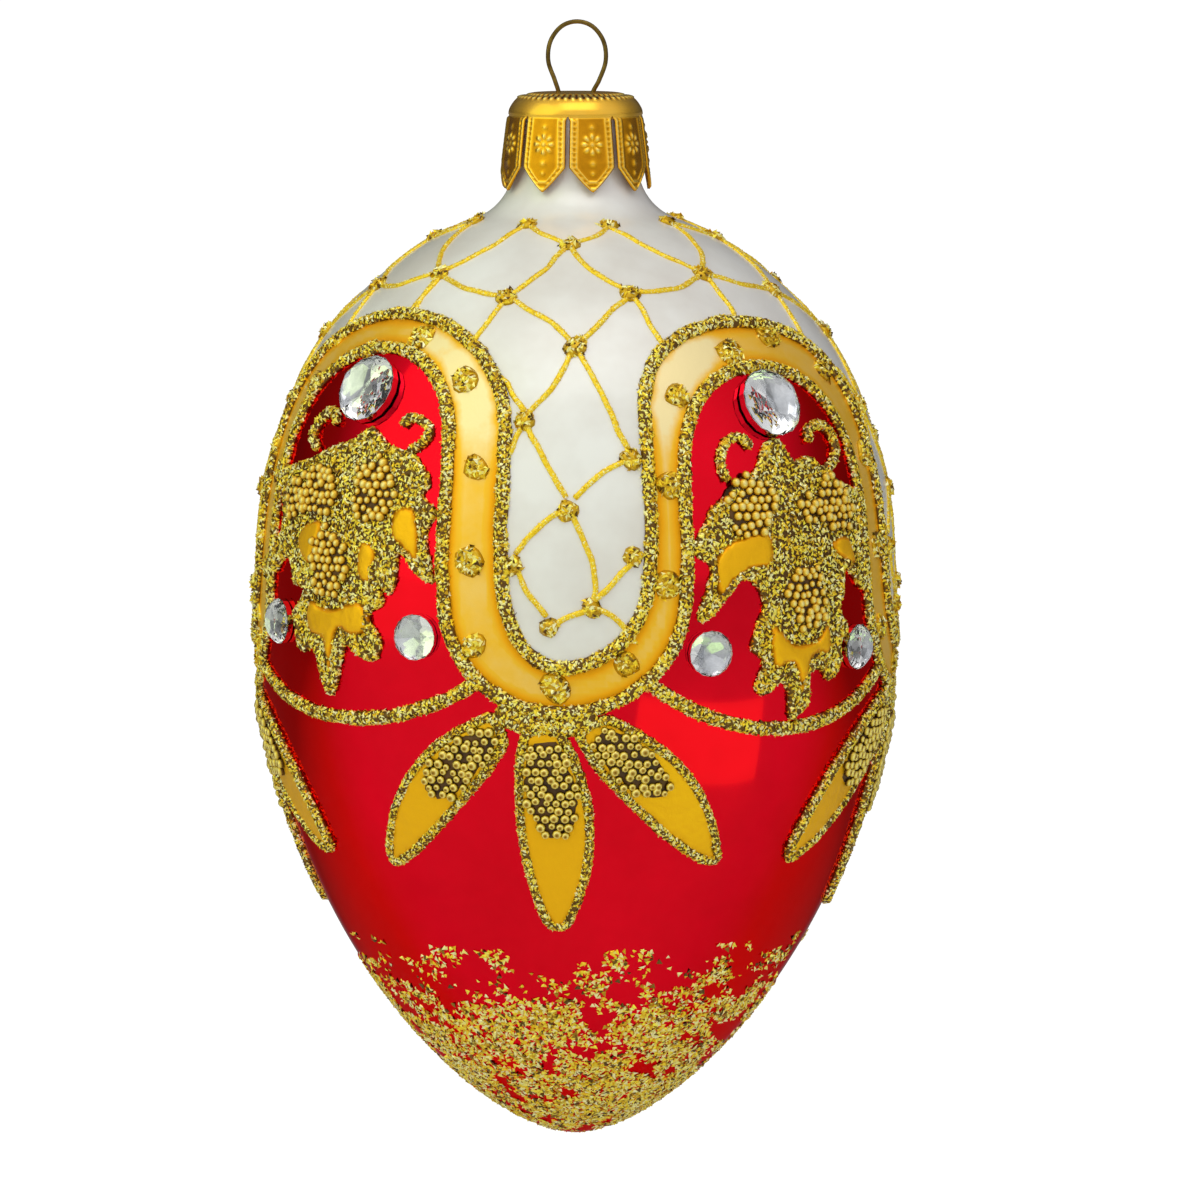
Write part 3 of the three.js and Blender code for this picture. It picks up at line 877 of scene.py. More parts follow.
@dataclass(frozen=True)
class Finish:
    """A finish of the ornament, made as a material once.

    Its colour follows its stops along the surface's unevenness, one of the mesh's attributes, or a sum of
    both. Scale is the unevenness's waves per metre, and relief is its kind, strength and millimetres.
    """

    name: str
    scale: float
    stops: tuple[tuple[float, str], ...]
    settings: dict[str, float | tuple[float, ...]]
    relief: tuple[str, float, float] | None = None
    attribute: str = ""
    unevenness: float = 0.0

    def build(self) -> bpy.types.Material:
        """Makes the material at the first call.

        Returns:
            The material.
        """
        found = bpy.data.materials.get(self.name)
        if found:
            return found
        maker = MaterialMaker(self.name)
        place = maker.add("ShaderNodeTexCoord").outputs["Object"]
        mottle = maker.add("ShaderNodeGroup", {"node_tree": MOTTLE}, Vector=place, Scale=self.scale)
        colour = maker.ramp(self.followed(maker, mottle.outputs["Mottle"]), self.stops)
        maker.link(colour, "Base Color")
        if self.relief:
            kind, strength, distance = self.relief
            maker.bump(mottle.outputs[kind], strength, distance)
        maker.set(self.settings)
        return maker.material

    def followed(self, maker: MaterialMaker, mottle: bpy.types.NodeSocket) -> bpy.types.NodeSocket:
        """What the colour follows.

        Args:
            maker: the material.
            mottle: the surface's unevenness.

        Returns:
            Its socket.
        """
        if not self.attribute:
            return mottle
        value = maker.attribute(self.attribute)
        return maker.scaled(mottle, self.unevenness, value) if self.unevenness else value


@dataclass(frozen=True)
class BandFinish(Finish):
    """Finish of the gold band, darker beside the ropes as a painted shade and paler where the mesh gives a
    painted highlight.
    """

    def followed(self, maker: MaterialMaker, mottle: bpy.types.NodeSocket) -> bpy.types.NodeSocket:
        """Half of the sum of what the finish follows and the painted highlight."""
        uneven = super().followed(maker, mottle)
        # The painted highlight, times the mottle, makes the band's paint paler.
        return maker.scaled(maker.scaled(mottle, maker.attribute("cream"), uneven), 0.5)


@dataclass(frozen=True)
class FloorFinish(Finish):
    """Finish of the floor: duller behind the ornament, so that its sides reflect less of it, and lit
    evenly where the camera sees it."""

    dull_y: float = 0.2
    pale_y: float = -0.04
    palest: float = 0.8
    glow: float = 0.88

    def followed(self, maker: MaterialMaker, mottle: bpy.types.NodeSocket) -> bpy.types.NodeSocket:
        """Lights the floor for the camera, and grades it from back to front.

        Args:
            maker: the material.
            mottle: the surface's unevenness.

        Returns:
            The socket of the grading.
        """
        seen = maker.add("ShaderNodeLightPath").outputs["Is Camera Ray"]
        maker.link(maker.scaled(seen, self.glow), "Emission Strength")
        place = maker.add("ShaderNodeTexCoord").outputs["Object"]
        split = maker.add("ShaderNodeSeparateXYZ", Vector=place)
        front = maker.add("ShaderNodeMapRange", Value=split.outputs["Y"], From_Min=self.dull_y,
                          From_Max=self.pale_y, To_Min=0.0, To_Max=self.palest)
        return maker.scaled(mottle, self.unevenness, front.outputs[0])


CANDY_LACQUER = Finish(
    "candy_lacquer", 55.0, ((0.3, "E8051E"), (0.7, "FF0726")),
    {"Metallic": 1.0, "Roughness": 0.09, "Specular Tint": (1.0, 0.05, 0.1), "Coat Weight": 0.08,
     "Coat Roughness": 0.03}, relief=("Mottle", 0.03, 0.3))
PEARL_GROUND = Finish(
    "pearl_ground", 70.0, ((0.3, "E3DDD8"), (0.65, "F4F2F0")),
    {"Metallic": 0.12, "Roughness": 0.34, "Coat Weight": 0.5, "Coat Roughness": 0.12},
    relief=("Mottle", 0.08, 0.5))
# Gold band paint: the olive low stops are a painted shade beside the ropes, and the pale top stop is a
# painted highlight.
BAND_PAINT = BandFinish(
    "band_paint", 160.0,
    ((0.16, "8A6804"), (0.26, "E29804"), (0.42, "FFB20C"), (0.56, "FFC634"), (0.78, "FFEAB0")),
    {"Metallic": 0.55, "Roughness": 0.46, "Specular IOR Level": 0.2}, relief=("Grain", 0.25, 0.12),
    attribute="edge", unevenness=0.35)
# Raised gold paint of the leaves and spray patches, darker towards each plate's outline: painted shade on
# its rounded edge, with random mottle.
RAISED_PAINT = Finish(
    "raised_gold_paint", 420.0, ((0.3, "9A6402"), (0.62, "E09202"), (0.9, "FFB006"), (1.0, "FFBE12")),
    {"Metallic": 0.55, "Roughness": 0.4, "Specular IOR Level": 0.2}, relief=("Mottle", 0.6, 0.35),
    attribute="rim", unevenness=0.9)
GLITTER = Finish(
    "glitter_flakes", 900.0,
    ((0.0, "442804"), (0.22, "6A4808"), (0.3, "D2A20E"), (0.46, "FFD61E"), (0.66, "FFEC4C"),
     (1.0, "FFFAC4")),
    {"Metallic": 0.45, "Roughness": 0.3}, relief=("Grain", 0.2, 0.05), attribute="tone")
# Bead gold follows each bead's height from foot to top: the dark low stops are painted shade under the bead,
# the pale high stops a painted highlight on its top.
BEAD_GOLD = Finish(
    "bead_gold", 1100.0,
    ((0.34, "33200A"), (0.55, "8E620A"), (0.7, "D69E14"), (0.88, "F2C83C"), (1.0, "FFF0A0")),
    {"Metallic": 0.45, "Roughness": 0.27}, relief=("Grain", 0.3, 0.06), attribute="crown")
# The leaves' beads: a painted highlight ring round a darker painted centre on each bead's top, in place of a
# reflected light.
RING_HIGHLIGHT_BEAD_GOLD = replace(
    BEAD_GOLD, name="ring_highlight_bead_gold",
    stops=((0.34, "33200A"), (0.6, "6A480A"), (0.74, "E8C438"), (0.9, "FFEE90"), (0.96, "B88A18"),
           (1.0, "5A3C08")))
# Dark sheet under the beads: painted shade that shows in the gaps between them.
BEAD_GAP_SHADE = Finish(
    "bead_gap_shade", 500.0, ((0.35, "3A2206"), (0.7, "6B4510")), {"Metallic": 0.2, "Roughness": 0.5},
    relief=("Grain", 0.4, 0.1))
# Stamped gold of the cap: its colour follows a painted light value, with painted shade on the low metal and
# a painted highlight on the top and the raised embossing.
STAMPED_GOLD = Finish(
    "stamped_gold", 260.0, ((0.08, "6A4006"), (0.26, "D4900E"), (0.5, "FFBC22"), (1.0, "FFE078")),
    {"Metallic": 0.92, "Roughness": 0.25}, relief=("Grain", 0.12, 0.05), attribute="relief", unevenness=0.25)
DULL_BRASS = Finish(
    "dull_brass", 600.0, ((0.3, "4E3C16"), (0.7, "8A7034")), {"Metallic": 0.9, "Roughness": 0.36},
    relief=("Grain", 0.15, 0.04))
CLEAR_CRYSTAL = Finish(
    "cut_crystal_glass", 300.0, ((0.3, "F4F6F8"), (0.7, "FFFFFF")),
    {"Metallic": 0.0, "Roughness": 0.015, "IOR": 1.56, "Transmission Weight": 1.0})
SILVER_FOIL = Finish(
    "silver_foil", 500.0, ((0.3, "C9CBD0"), (0.7, "F2F3F5")), {"Metallic": 1.0, "Roughness": 0.12})
SILVERING = Finish(
    "inner_silvering", 90.0, ((0.3, "8E8C88"), (0.7, "C4C2BE")), {"Metallic": 0.8, "Roughness": 0.3})
PALE_FLOOR = FloorFinish(
    "pale_floor", 3.0, ((0.0, "8C8C8C"), (0.8, "ECECEC")),
    {"Roughness": 0.9, "Specular IOR Level": 0.1, "Emission Color": (1.0, 1.0, 1.0)}, unevenness=0.1)


# Geometry node trees

LEAST_FACING = 0.15
TILT_SEEDS = (3, 4)
SPIN_SEED = 5
SIZE_SEED = 6
BEAD_SIZE_SEED = 2
TONE_SEED = 7
FLAKE_SIZES = (0.55, 1.25)
BEAD_SIZES = (0.78, 1.2)


class Growth:
    """A Geometry Nodes tree with named inputs, run on an object and kept as a plain mesh."""

    def __init__(self, name: str, inputs: Sequence[tuple[str, str]]) -> None:
        """Starts the tree.

        Args:
            name: the tree's name.
            inputs: labels and kinds of its inputs after the geometry.
        """
        self.group = bpy.data.node_groups.new(name, "GeometryNodeTree")
        sockets = self.group.interface
        sockets.new_socket("Geometry", in_out="INPUT", socket_type="NodeSocketGeometry")
        self.identifiers = {
            label: sockets.new_socket(label, in_out="INPUT", socket_type=f"NodeSocket{kind}").identifier
            for label, kind in inputs
        }
        sockets.new_socket("Geometry", in_out="OUTPUT", socket_type="NodeSocketGeometry")
        self.entry = self.group.nodes.new("NodeGroupInput")
        self.leave = self.group.nodes.new("NodeGroupOutput")

    def add(self, kind: str, settings: dict[str, object] | None = None, **plugs: object) -> bpy.types.Node:
        """Adds a node, as add_node does."""
        return add_node(self.group, kind, settings, plugs)

    def math(self, operation: str, first: object, second: object) -> bpy.types.NodeSocket:
        """Result of a sum on two values or sockets."""
        return self.add("ShaderNodeMath", {"operation": operation}, Value=first, Value_001=second).outputs[0]

    def random(self, low: float, high: float, seed: int) -> bpy.types.NodeSocket:
        """Random number for each point or instance.

        Args:
            low: the least it can be.
            high: the most it can be.
            seed: picks it, with the tree's own seed.

        Returns:
            Its socket.
        """
        shifted = self.math("ADD", self.entry.outputs["Seed"], float(seed))
        node = self.add("FunctionNodeRandomValue", {"data_type": "FLOAT"}, Min_001=low, Max_001=high,
                        Seed=shifted)
        return node.outputs[1]

    def named(self, name: str, data_type: str = "FLOAT") -> bpy.types.NodeSocket:
        """Value of a named attribute."""
        return self.add("GeometryNodeInputNamedAttribute", {"data_type": data_type}, Name=name).outputs[0]

    def finish(self, *parts: bpy.types.NodeSocket) -> None:
        """Joins parts, realizes them, gives them the tree's material and ends the tree.

        Args:
            parts: geometry sockets.
        """
        join = self.add("GeometryNodeJoinGeometry")
        for part in parts:
            self.group.links.new(part, join.inputs[0])
        real = self.add("GeometryNodeRealizeInstances", Geometry=join.outputs[0])
        last = self.add("GeometryNodeSetMaterial", Geometry=real.outputs[0],
                        Material=self.entry.outputs["Material"])
        self.group.links.new(last.outputs[0], self.leave.inputs[0])

    def grow(self, thing: bpy.types.Object, **values: object) -> bpy.types.Object:
        """Runs the tree on an object.

        Args:
            thing: the object.
            values: values for the tree's inputs, with underscores for spaces.

        Returns:
            The same object with the result as its plain mesh.
        """
        modifier = thing.modifiers.new(self.group.name, "NODES")
        modifier.node_group = self.group
        for label, value in values.items():
            modifier[self.identifiers[label.replace("_", " ")]] = value
        return frozen(thing)


def frozen(thing: bpy.types.Object) -> bpy.types.Object:
    """Replaces an object's mesh with what its modifiers make of it.

    Args:
        thing: the object.

    Returns:
        The same object, without modifiers.
    """
    graph = bpy.context.evaluated_depsgraph_get()
    mesh = bpy.data.meshes.new_from_object(
        thing.evaluated_get(graph), preserve_all_data_layers=True, depsgraph=graph)
    thing.modifiers.clear()
    old = thing.data
    thing.data = mesh
    bpy.data.meshes.remove(old)
    mesh.name = thing.name
    return thing


def glitter_growth() -> Growth:
    """Tree that covers a surface with small tilted flakes, each with a tone of its own.

    Returns:
        The tree.
    """
    tree = Growth("GlitterCoat", (
        ("Density", "Float"), ("Flake Size", "Float"), ("Tilt", "Float"), ("Seed", "Int"),
        ("Keep Base", "Bool"), ("Least Tone", "Float"), ("Material", "Material"),
    ))
    base = tree.entry.outputs["Geometry"]
    normal = tree.add("GeometryNodeInputNormal").outputs[0]
    facing = tree.add("ShaderNodeVectorMath", {"operation": "DOT_PRODUCT"}, Vector=normal,
                      Vector_001=tree.named("out", "FLOAT_VECTOR"))
    outer = tree.math("GREATER_THAN", facing.outputs["Value"], LEAST_FACING)
    density = tree.math("MULTIPLY", tree.entry.outputs["Density"], tree.named("cover"))
    spread = tree.add("GeometryNodeDistributePointsOnFaces", {"distribute_method": "RANDOM"},
                      Mesh=base, Selection=outer, Density=density, Seed=tree.entry.outputs["Seed"])
    low_tilt = tree.math("MULTIPLY", tree.entry.outputs["Tilt"], -1.0)
    turn = tree.add("ShaderNodeCombineXYZ")
    for axis, seed in enumerate(TILT_SEEDS):
        share = tree.random(0.0, 1.0, seed)
        span = tree.math("SUBTRACT", tree.entry.outputs["Tilt"], low_tilt)
        value = tree.math("ADD", tree.math("MULTIPLY", share, span), low_tilt)
        tree.group.links.new(value, turn.inputs[axis])
    tree.group.links.new(tree.random(0.0, 2 * math.pi, SPIN_SEED), turn.inputs[2])
    euler = tree.add("FunctionNodeEulerToRotation", Euler=turn.outputs[0])
    tilted = tree.add("FunctionNodeRotateRotation", {"rotation_space": "LOCAL"},
                      Rotation=spread.outputs["Rotation"], Rotate_By=euler.outputs[0])
    flake = tree.add("GeometryNodeMeshCone", {"fill_type": "NGON"}, Vertices=3, Side_Segments=1,
                     Fill_Segments=1, Radius_Top=0.0, Radius_Bottom=0.62, Depth=0.22)
    flat = tree.add("GeometryNodeSetShadeSmooth", Geometry=flake.outputs["Mesh"], Shade_Smooth=False)
    size = tree.math("MULTIPLY", tree.random(*FLAKE_SIZES, SIZE_SEED), tree.entry.outputs["Flake Size"])
    flakes = tree.add("GeometryNodeInstanceOnPoints", Points=spread.outputs["Points"],
                      Instance=flat.outputs[0], Rotation=tilted.outputs[0], Scale=size)
    least = tree.entry.outputs["Least Tone"]
    above = tree.math("MULTIPLY", tree.random(0.0, 1.0, TONE_SEED), tree.math("SUBTRACT", 1.0, least))
    tone = tree.math("ADD", above, least)
    toned = tree.add("GeometryNodeStoreNamedAttribute", {"data_type": "FLOAT", "domain": "INSTANCE"},
                     Geometry=flakes.outputs[0], Name="tone", Value=tone)
    kept = tree.add("GeometryNodeSwitch", {"input_type": "GEOMETRY"}, Switch=tree.entry.outputs["Keep Base"])
    tree.group.links.new(base, kept.inputs["True"])
    tree.finish(kept.outputs[0], toned.outputs[0])
    return tree


def bead_growth() -> Growth:
    """Tree that sets a bead on every point of a mesh, square to the surface under it.

    Returns:
        The tree.
    """
    tree = Growth("BeadField", (("Bead Size", "Float"), ("Seed", "Int"), ("Material", "Material")))
    radius = 0.5
    bead = tree.add("GeometryNodeMeshUVSphere", Radius=radius, Segments=8, Rings=6)
    smooth = tree.add("GeometryNodeSetShadeSmooth", Geometry=bead.outputs["Mesh"], Shade_Smooth=True)
    height = tree.add("ShaderNodeSeparateXYZ", Vector=tree.add("GeometryNodeInputPosition").outputs[0])
    # Each bead's height from foot to top, which the bead finishes turn into painted shade below and a
    # painted highlight above.
    crown = tree.math("ADD", height.outputs["Z"], radius)
    marked = tree.add("GeometryNodeStoreNamedAttribute", {"data_type": "FLOAT", "domain": "POINT"},
                      Geometry=smooth.outputs[0], Name="crown", Value=crown)
    upright = tree.add("FunctionNodeAlignRotationToVector", {"axis": "Z"},
                       Vector=tree.named("out", "FLOAT_VECTOR"))
    size = tree.math("MULTIPLY", tree.random(*BEAD_SIZES, BEAD_SIZE_SEED), tree.entry.outputs["Bead Size"])
    beads = tree.add("GeometryNodeInstanceOnPoints", Points=tree.entry.outputs["Geometry"],
                     Instance=marked.outputs[0], Rotation=upright.outputs[0], Scale=size)
    tree.finish(beads.outputs[0])
    return tree


GLITTER_COAT = glitter_growth()
BEAD_FIELD = bead_growth()
BEAD_MARGIN = 0.1
BEAD_WAVES = 1.7
BEAD_JITTER = 0.42
BEAD_SEAT = 0.34
BEAD_FULLNESS = 1.02


def joined(name: str, things: Sequence[bpy.types.Object]) -> bpy.types.Object:
    """Joins objects into one.

    Args:
        name: the name of the result.
        things: the objects.

    Returns:
        The joined object.
    """
    first = things[0]
    chosen = list(things)
    with bpy.context.temp_override(active_object=first, object=first, selected_objects=chosen,
                                   selected_editable_objects=chosen):
        bpy.ops.object.join()
    first.name = first.data.name = name
    return first


def coated(shape: Shape, name: str, density: float, flake: float, tilt: float, seed: int,
           keep_base: bool = True, least_tone: float = 0.18) -> bpy.types.Object:
    """Makes a shape and covers it with glitter.

    Args:
        shape: the shape.
        name: the object's name.
        density: flakes a square millimetre.
        flake: size of a flake in millimetres.
        tilt: most tilt of a flake in degrees.
        seed: picks the flakes.
        keep_base: whether the shape itself stays.
        least_tone: tone of the darkest flakes, from 0 to 1.

    Returns:
        The object.
    """
    thing = shape.made(name)
    return GLITTER_COAT.grow(
        thing, Density=density / MM ** 2, Flake_Size=flake * MM, Tilt=math.radians(tilt), Seed=seed,
        Keep_Base=keep_base, Least_Tone=least_tone, Material=GLITTER.build())


def dressed(shape: Shape, name: str, finish: Finish, smooth: bool = True) -> bpy.types.Object:
    """Makes a shape with one finish.

    Args:
        shape: the shape.
        name: the object's name.
        finish: the finish.
        smooth: whether its faces are shaded smooth.

    Returns:
        The object.
    """
    thing = shape.made(name, smooth)
    thing.data.materials.append(finish.build())
    return thing


def finished(mesh: bmesh.types.BMesh, name: str, finish: Finish, smooth: bool = True) -> bpy.types.Object:
    """Turns a bmesh into an object with one finish, its faces pointing outwards.

    Args:
        mesh: the bmesh, which is freed.
        name: the object's name.
        finish: the finish.
        smooth: whether its faces are shaded smooth.

    Returns:
        The object.
    """
    bmesh.ops.recalc_face_normals(mesh, faces=mesh.faces)
    data = bpy.data.meshes.new(name)
    mesh.to_mesh(data)
    mesh.free()
    data.materials.append(finish.build())
    return placed(data, smooth)


def beaded(outline: np.ndarray, name: str, lift: float, seed: int, finish: Finish,
           distance: float = 1.1) -> list[bpy.types.Object]:
    """Patch of close-set beads on a dark bed.

    Args:
        outline: azimuths and heights of the patch's closed outline.
        name: stem of the objects' names.
        lift: how far its foot stands off the glass in millimetres.
        seed: picks the beads.
        finish: the beads' finish.
        distance: distance between beads in millimetres.

    Returns:
        The sheet of painted shade and the beads.
    """
    # Dark sheet under the beads, as painted shade between them.
    gap_shade = outline_plate(outline, height=0.3, edge=0.5, spacing=0.9, lift=lift)
    chart = Chart.of(outline)
    places = chart.grid(distance)
    inside, depth = chart.inside(places)
    places = places[inside & (depth > BEAD_MARGIN * distance)]
    offsets = [noise.noise_vector(Vector((float(u), float(v), float(seed))))
               for u, v in places * BEAD_WAVES]
    places = places + BEAD_JITTER * distance * np.array([offset[:2] for offset in offsets])
    azimuth, z = chart.back(places)
    points = Shape(GLASS.point(azimuth, z, lift + BEAD_SEAT), [], GLASS.outward(azimuth, z))
    beads = BEAD_FIELD.grow(points.made(f"{name}_beads"), Bead_Size=distance * BEAD_FULLNESS * MM, Seed=seed,
                            Material=finish.build())
    return [dressed(gap_shade, f"{name}_bed", BEAD_GAP_SHADE), beads]


def settle(thing: bpy.types.Object, slot: Slot, *nodes: str) -> None:
    """Fixes a finished piece to the body and hides the solids that it stands for.

    Args:
        thing: the piece.
        slot: not used.
        nodes: the solids that it replaces.
    """
    for name in ("out", "cover"):
        if name in thing.data.attributes:
            thing.data.attributes.remove(thing.data.attributes[name])
    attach(thing, BODY)
    if nodes:
        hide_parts(*nodes)
    triangles = sum(len(face.vertices) - 2 for face in thing.data.polygons)
    LOG.info("%s: %d triangles", thing.name, triangles)


# The ornament's pieces

@dataclass
class GlassEgg:
    """Blown glass body with its neck, wall and painted zones."""

    form: GlassForm = GLASS
    wall: float = 0.9
    columns: int = 320
    rows: int = 220
    inner_rows: int = 24
    samples: tuple[int, int] = (3000, 4000)
    # Painted shade on the band's paint, within this width of the ropes.
    rope_shade_width: float = 2.0
    edge_span: tuple[float, float] = (-90.0, -28.0)
    edge_radius: float = 20.0
    # Painted highlight on the band's paint, high up beside every second valley.
    cream: float = 1.1
    painted_highlight_aside: tuple[float, float] = (39.0, 8.0)
    painted_highlight_height: tuple[float, float] = (-54.0, 10.0)

    def profile(self, rows: int) -> np.ndarray:
        """Heights of evenly spaced rows from the lip to just above the bottom.

        Args:
            rows: how many rows.

        Returns:
            The heights in millimetres.
        """
        turn = np.linspace(0, math.pi / 2, self.samples[1])
        below = self.form.equator_z - self.form.lower_height * np.sin(turn)
        above = np.linspace(self.form.lip_z, self.form.equator_z, self.samples[0])
        heights = np.concatenate([above, below[1:]])
        radius = self.form.radius(heights)
        run = np.concatenate([[0], np.cumsum(np.hypot(np.diff(heights), np.diff(radius)))])
        wanted = np.linspace(0, run[-1], rows + 1)[:-1]
        return np.interp(wanted, run, heights)

    def zones(self, azimuth: np.ndarray, z: np.ndarray) -> tuple[np.ndarray, np.ndarray]:
        """Which places lie below each border.

        Args:
            azimuth: azimuths of the places in degrees.
            z: their heights in millimetres.

        Returns:
            Whether each is below the upper border, and whether below the lower one.
        """
        found = []
        for kind in BorderKind:
            stations = route(border_places(kind), BORDER_STEP, True)
            below = np.zeros(len(azimuth), bool)
            for (a0, z0), (a1, z1) in zip(stations, np.roll(stations, -1, 0)):
                span = turn_between(a0, a1)
                aside = turn_between(a0, azimuth)
                near = (aside >= min(0, span)) & (aside < max(0, span))
                if not near.any():
                    continue
                line = z0 + (z1 - z0) * aside / (span or 1e-9)
                below ^= near & (line > z)
            found.append(below)
        return found[0], found[1]

    def build(self) -> bpy.types.Object:
        """Makes the glass.

        Returns:
            The object.
        """
        outer_z = self.profile(self.rows)
        inner_z = self.profile(self.inner_rows)[::-1]
        turns = np.linspace(0, 360, self.columns, endpoint=False)
        rings = []
        for z in outer_z:
            rings.append(self.form.point(turns, np.full(self.columns, z)))
        across, up = self.form.normal(inner_z)
        inner_radius = self.form.radius(inner_z) - self.wall * across
        angle = np.radians(turns)
        for radius, z in zip(inner_radius, inner_z - self.wall * up):
            ring = (radius * np.sin(angle), -radius * np.cos(angle), np.full(self.columns, z))
            rings.append(np.stack(ring, -1) * MM)
        bottoms = np.array([[0, 0, self.form.bottom_z * MM], [0, 0, (self.form.bottom_z + self.wall) * MM]])
        vertices = np.concatenate([*rings, bottoms])
        count = self.columns
        bottom_index = len(vertices) - 2
        faces: list[tuple[int, ...]] = []
        outer, total = len(outer_z), len(rings)
        for row in range(outer - 1):
            faces += band(row, row + 1, count)
        for j in range(count):
            faces.append(((outer - 1) * count + j, bottom_index, (outer - 1) * count + (j + 1) % count))
        outer_faces = len(faces)
        for j in range(count):
            faces.append((outer * count + (j + 1) % count, bottom_index + 1, outer * count + j))
        for row in range(outer, total):
            faces += band(row, (row + 1) % total, count)
        points = vertices / MM
        # Painted light on the band's paint: painted shade beside the ropes and a painted highlight high up.
        values = {"edge": self.rope_shade_distance(points), "cream": self.painted_highlight_share(points)}
        thing = Shape(vertices, faces, vertices, values).made("blown_glass_egg")
        finishes = (PEARL_GROUND, BAND_PAINT, CANDY_LACQUER, SILVERING)
        for finish in finishes:
            thing.data.materials.append(finish.build())
        middles = np.array([points[list(face)].mean(0) for face in faces[:outer_faces]])
        spots = np.degrees(np.arctan2(middles[:, 0], -middles[:, 1]))
        under_upper, under_lower = self.zones(spots, middles[:, 2])
        index = np.full(len(faces), len(finishes) - 1)
        index[:outer_faces] = under_upper.astype(int) + (under_upper & under_lower).astype(int)
        thing.data.polygons.foreach_set("material_index", index)
        mesh = bmesh.new()
        mesh.from_mesh(thing.data)
        bmesh.ops.recalc_face_normals(mesh, faces=mesh.faces)
        mesh.to_mesh(thing.data)
        mesh.free()
        settle(thing, Slot.GLASS, "glass_egg")
        return thing

    def painted_highlight_share(self, points: np.ndarray) -> np.ndarray:
        """Painted highlight on the band's paint, strongest high up beside every second valley.

        Args:
            points: the vertices in millimetres.

        Returns:
            Its strength at each.
        """
        azimuth = np.degrees(np.arctan2(points[:, 0], -points[:, 1]))
        valleys = np.array([valley.azimuth for valley in VALLEYS[::2]])
        aside = np.min(np.abs(turn_between(valleys, azimuth[:, None])), axis=1)
        (reach, fade), (foot, rise) = self.painted_highlight_aside, self.painted_highlight_height
        beside_valley = np.clip((reach - aside) / fade, 0, 1)
        return self.cream * beside_valley * np.clip((points[:, 2] - foot) / rise, 0, 1)

    def rope_shade_distance(self, points: np.ndarray) -> np.ndarray:
        """How far vertices lie from the borders, which sets the painted shade on the band's paint beside
        them.

        Args:
            points: the vertices in millimetres.

        Returns:
            0 at a border, where the painted shade is darkest, to 1 at its width.
        """
        lines = [route(border_places(kind), BORDER_STEP, True) for kind in BorderKind]
        stations = np.concatenate(lines)
        tree = kdtree.KDTree(len(stations))
        for i, place in enumerate(self.form.point(stations[:, 0], stations[:, 1]) / MM):
            tree.insert(Vector(place), i)
        tree.balance()
        reach = np.ones(len(points))
        low, high = self.edge_span
        outside = np.hypot(points[:, 0], points[:, 1]) > self.edge_radius
        for i in np.flatnonzero((points[:, 2] < high) & (points[:, 2] > low) & outside):
            reach[i] = min(1.0, tree.find(Vector(points[i]))[2] / self.rope_shade_width)
        return reach


@dataclass
class Borders:
    """The two glittered ropes that edge the gold band, with their swags."""

    width: float = 1.65
    height: float = 0.64
    density: float = 9.5
    flake: float = 0.56
    tilt: float = 38.0
    collar_places: tuple[Place, ...] = ((-11.5, -80.4), (-6.0, -82.0), (0.6, -82.3), (6.4, -80.9))
    collar_width: float = 2.4
    collar_height: float = 0.7

    def build(self) -> list[bpy.types.Object]:
        """Makes both borders.

        Returns:
            The two objects.
        """
        made = []
        for number, kind in enumerate(BorderKind):
            shapes = [rope(border_places(kind), self.width, self.height, seed=3.0 + number, closed=True)]
            if kind is BorderKind.LOWER:
                for i in range(len(PANELS)):
                    shapes.append(rope(swag_places(i), self.width, self.height, seed=20.0 + i))
                for i, valley in enumerate(VALLEYS):
                    shapes.append(self.collar(valley.azimuth, seed=30.0 + i))
            thing = coated(shapes[0].joined(shapes[1:]), f"{kind.value}_glitter_rope", self.density,
                           self.flake, self.tilt, seed=11 + number)
            settle(thing, Slot.GLITTER, f"{kind.value}_border")
            made.append(thing)
        return made

    def collar(self, azimuth: float, seed: float) -> Shape:
        """Thick glitter between the border's lowest stretch and the leaves' roots."""
        places = [(azimuth + a, z) for a, z in self.collar_places]
        return rope(places, self.collar_width, self.collar_height, seed)


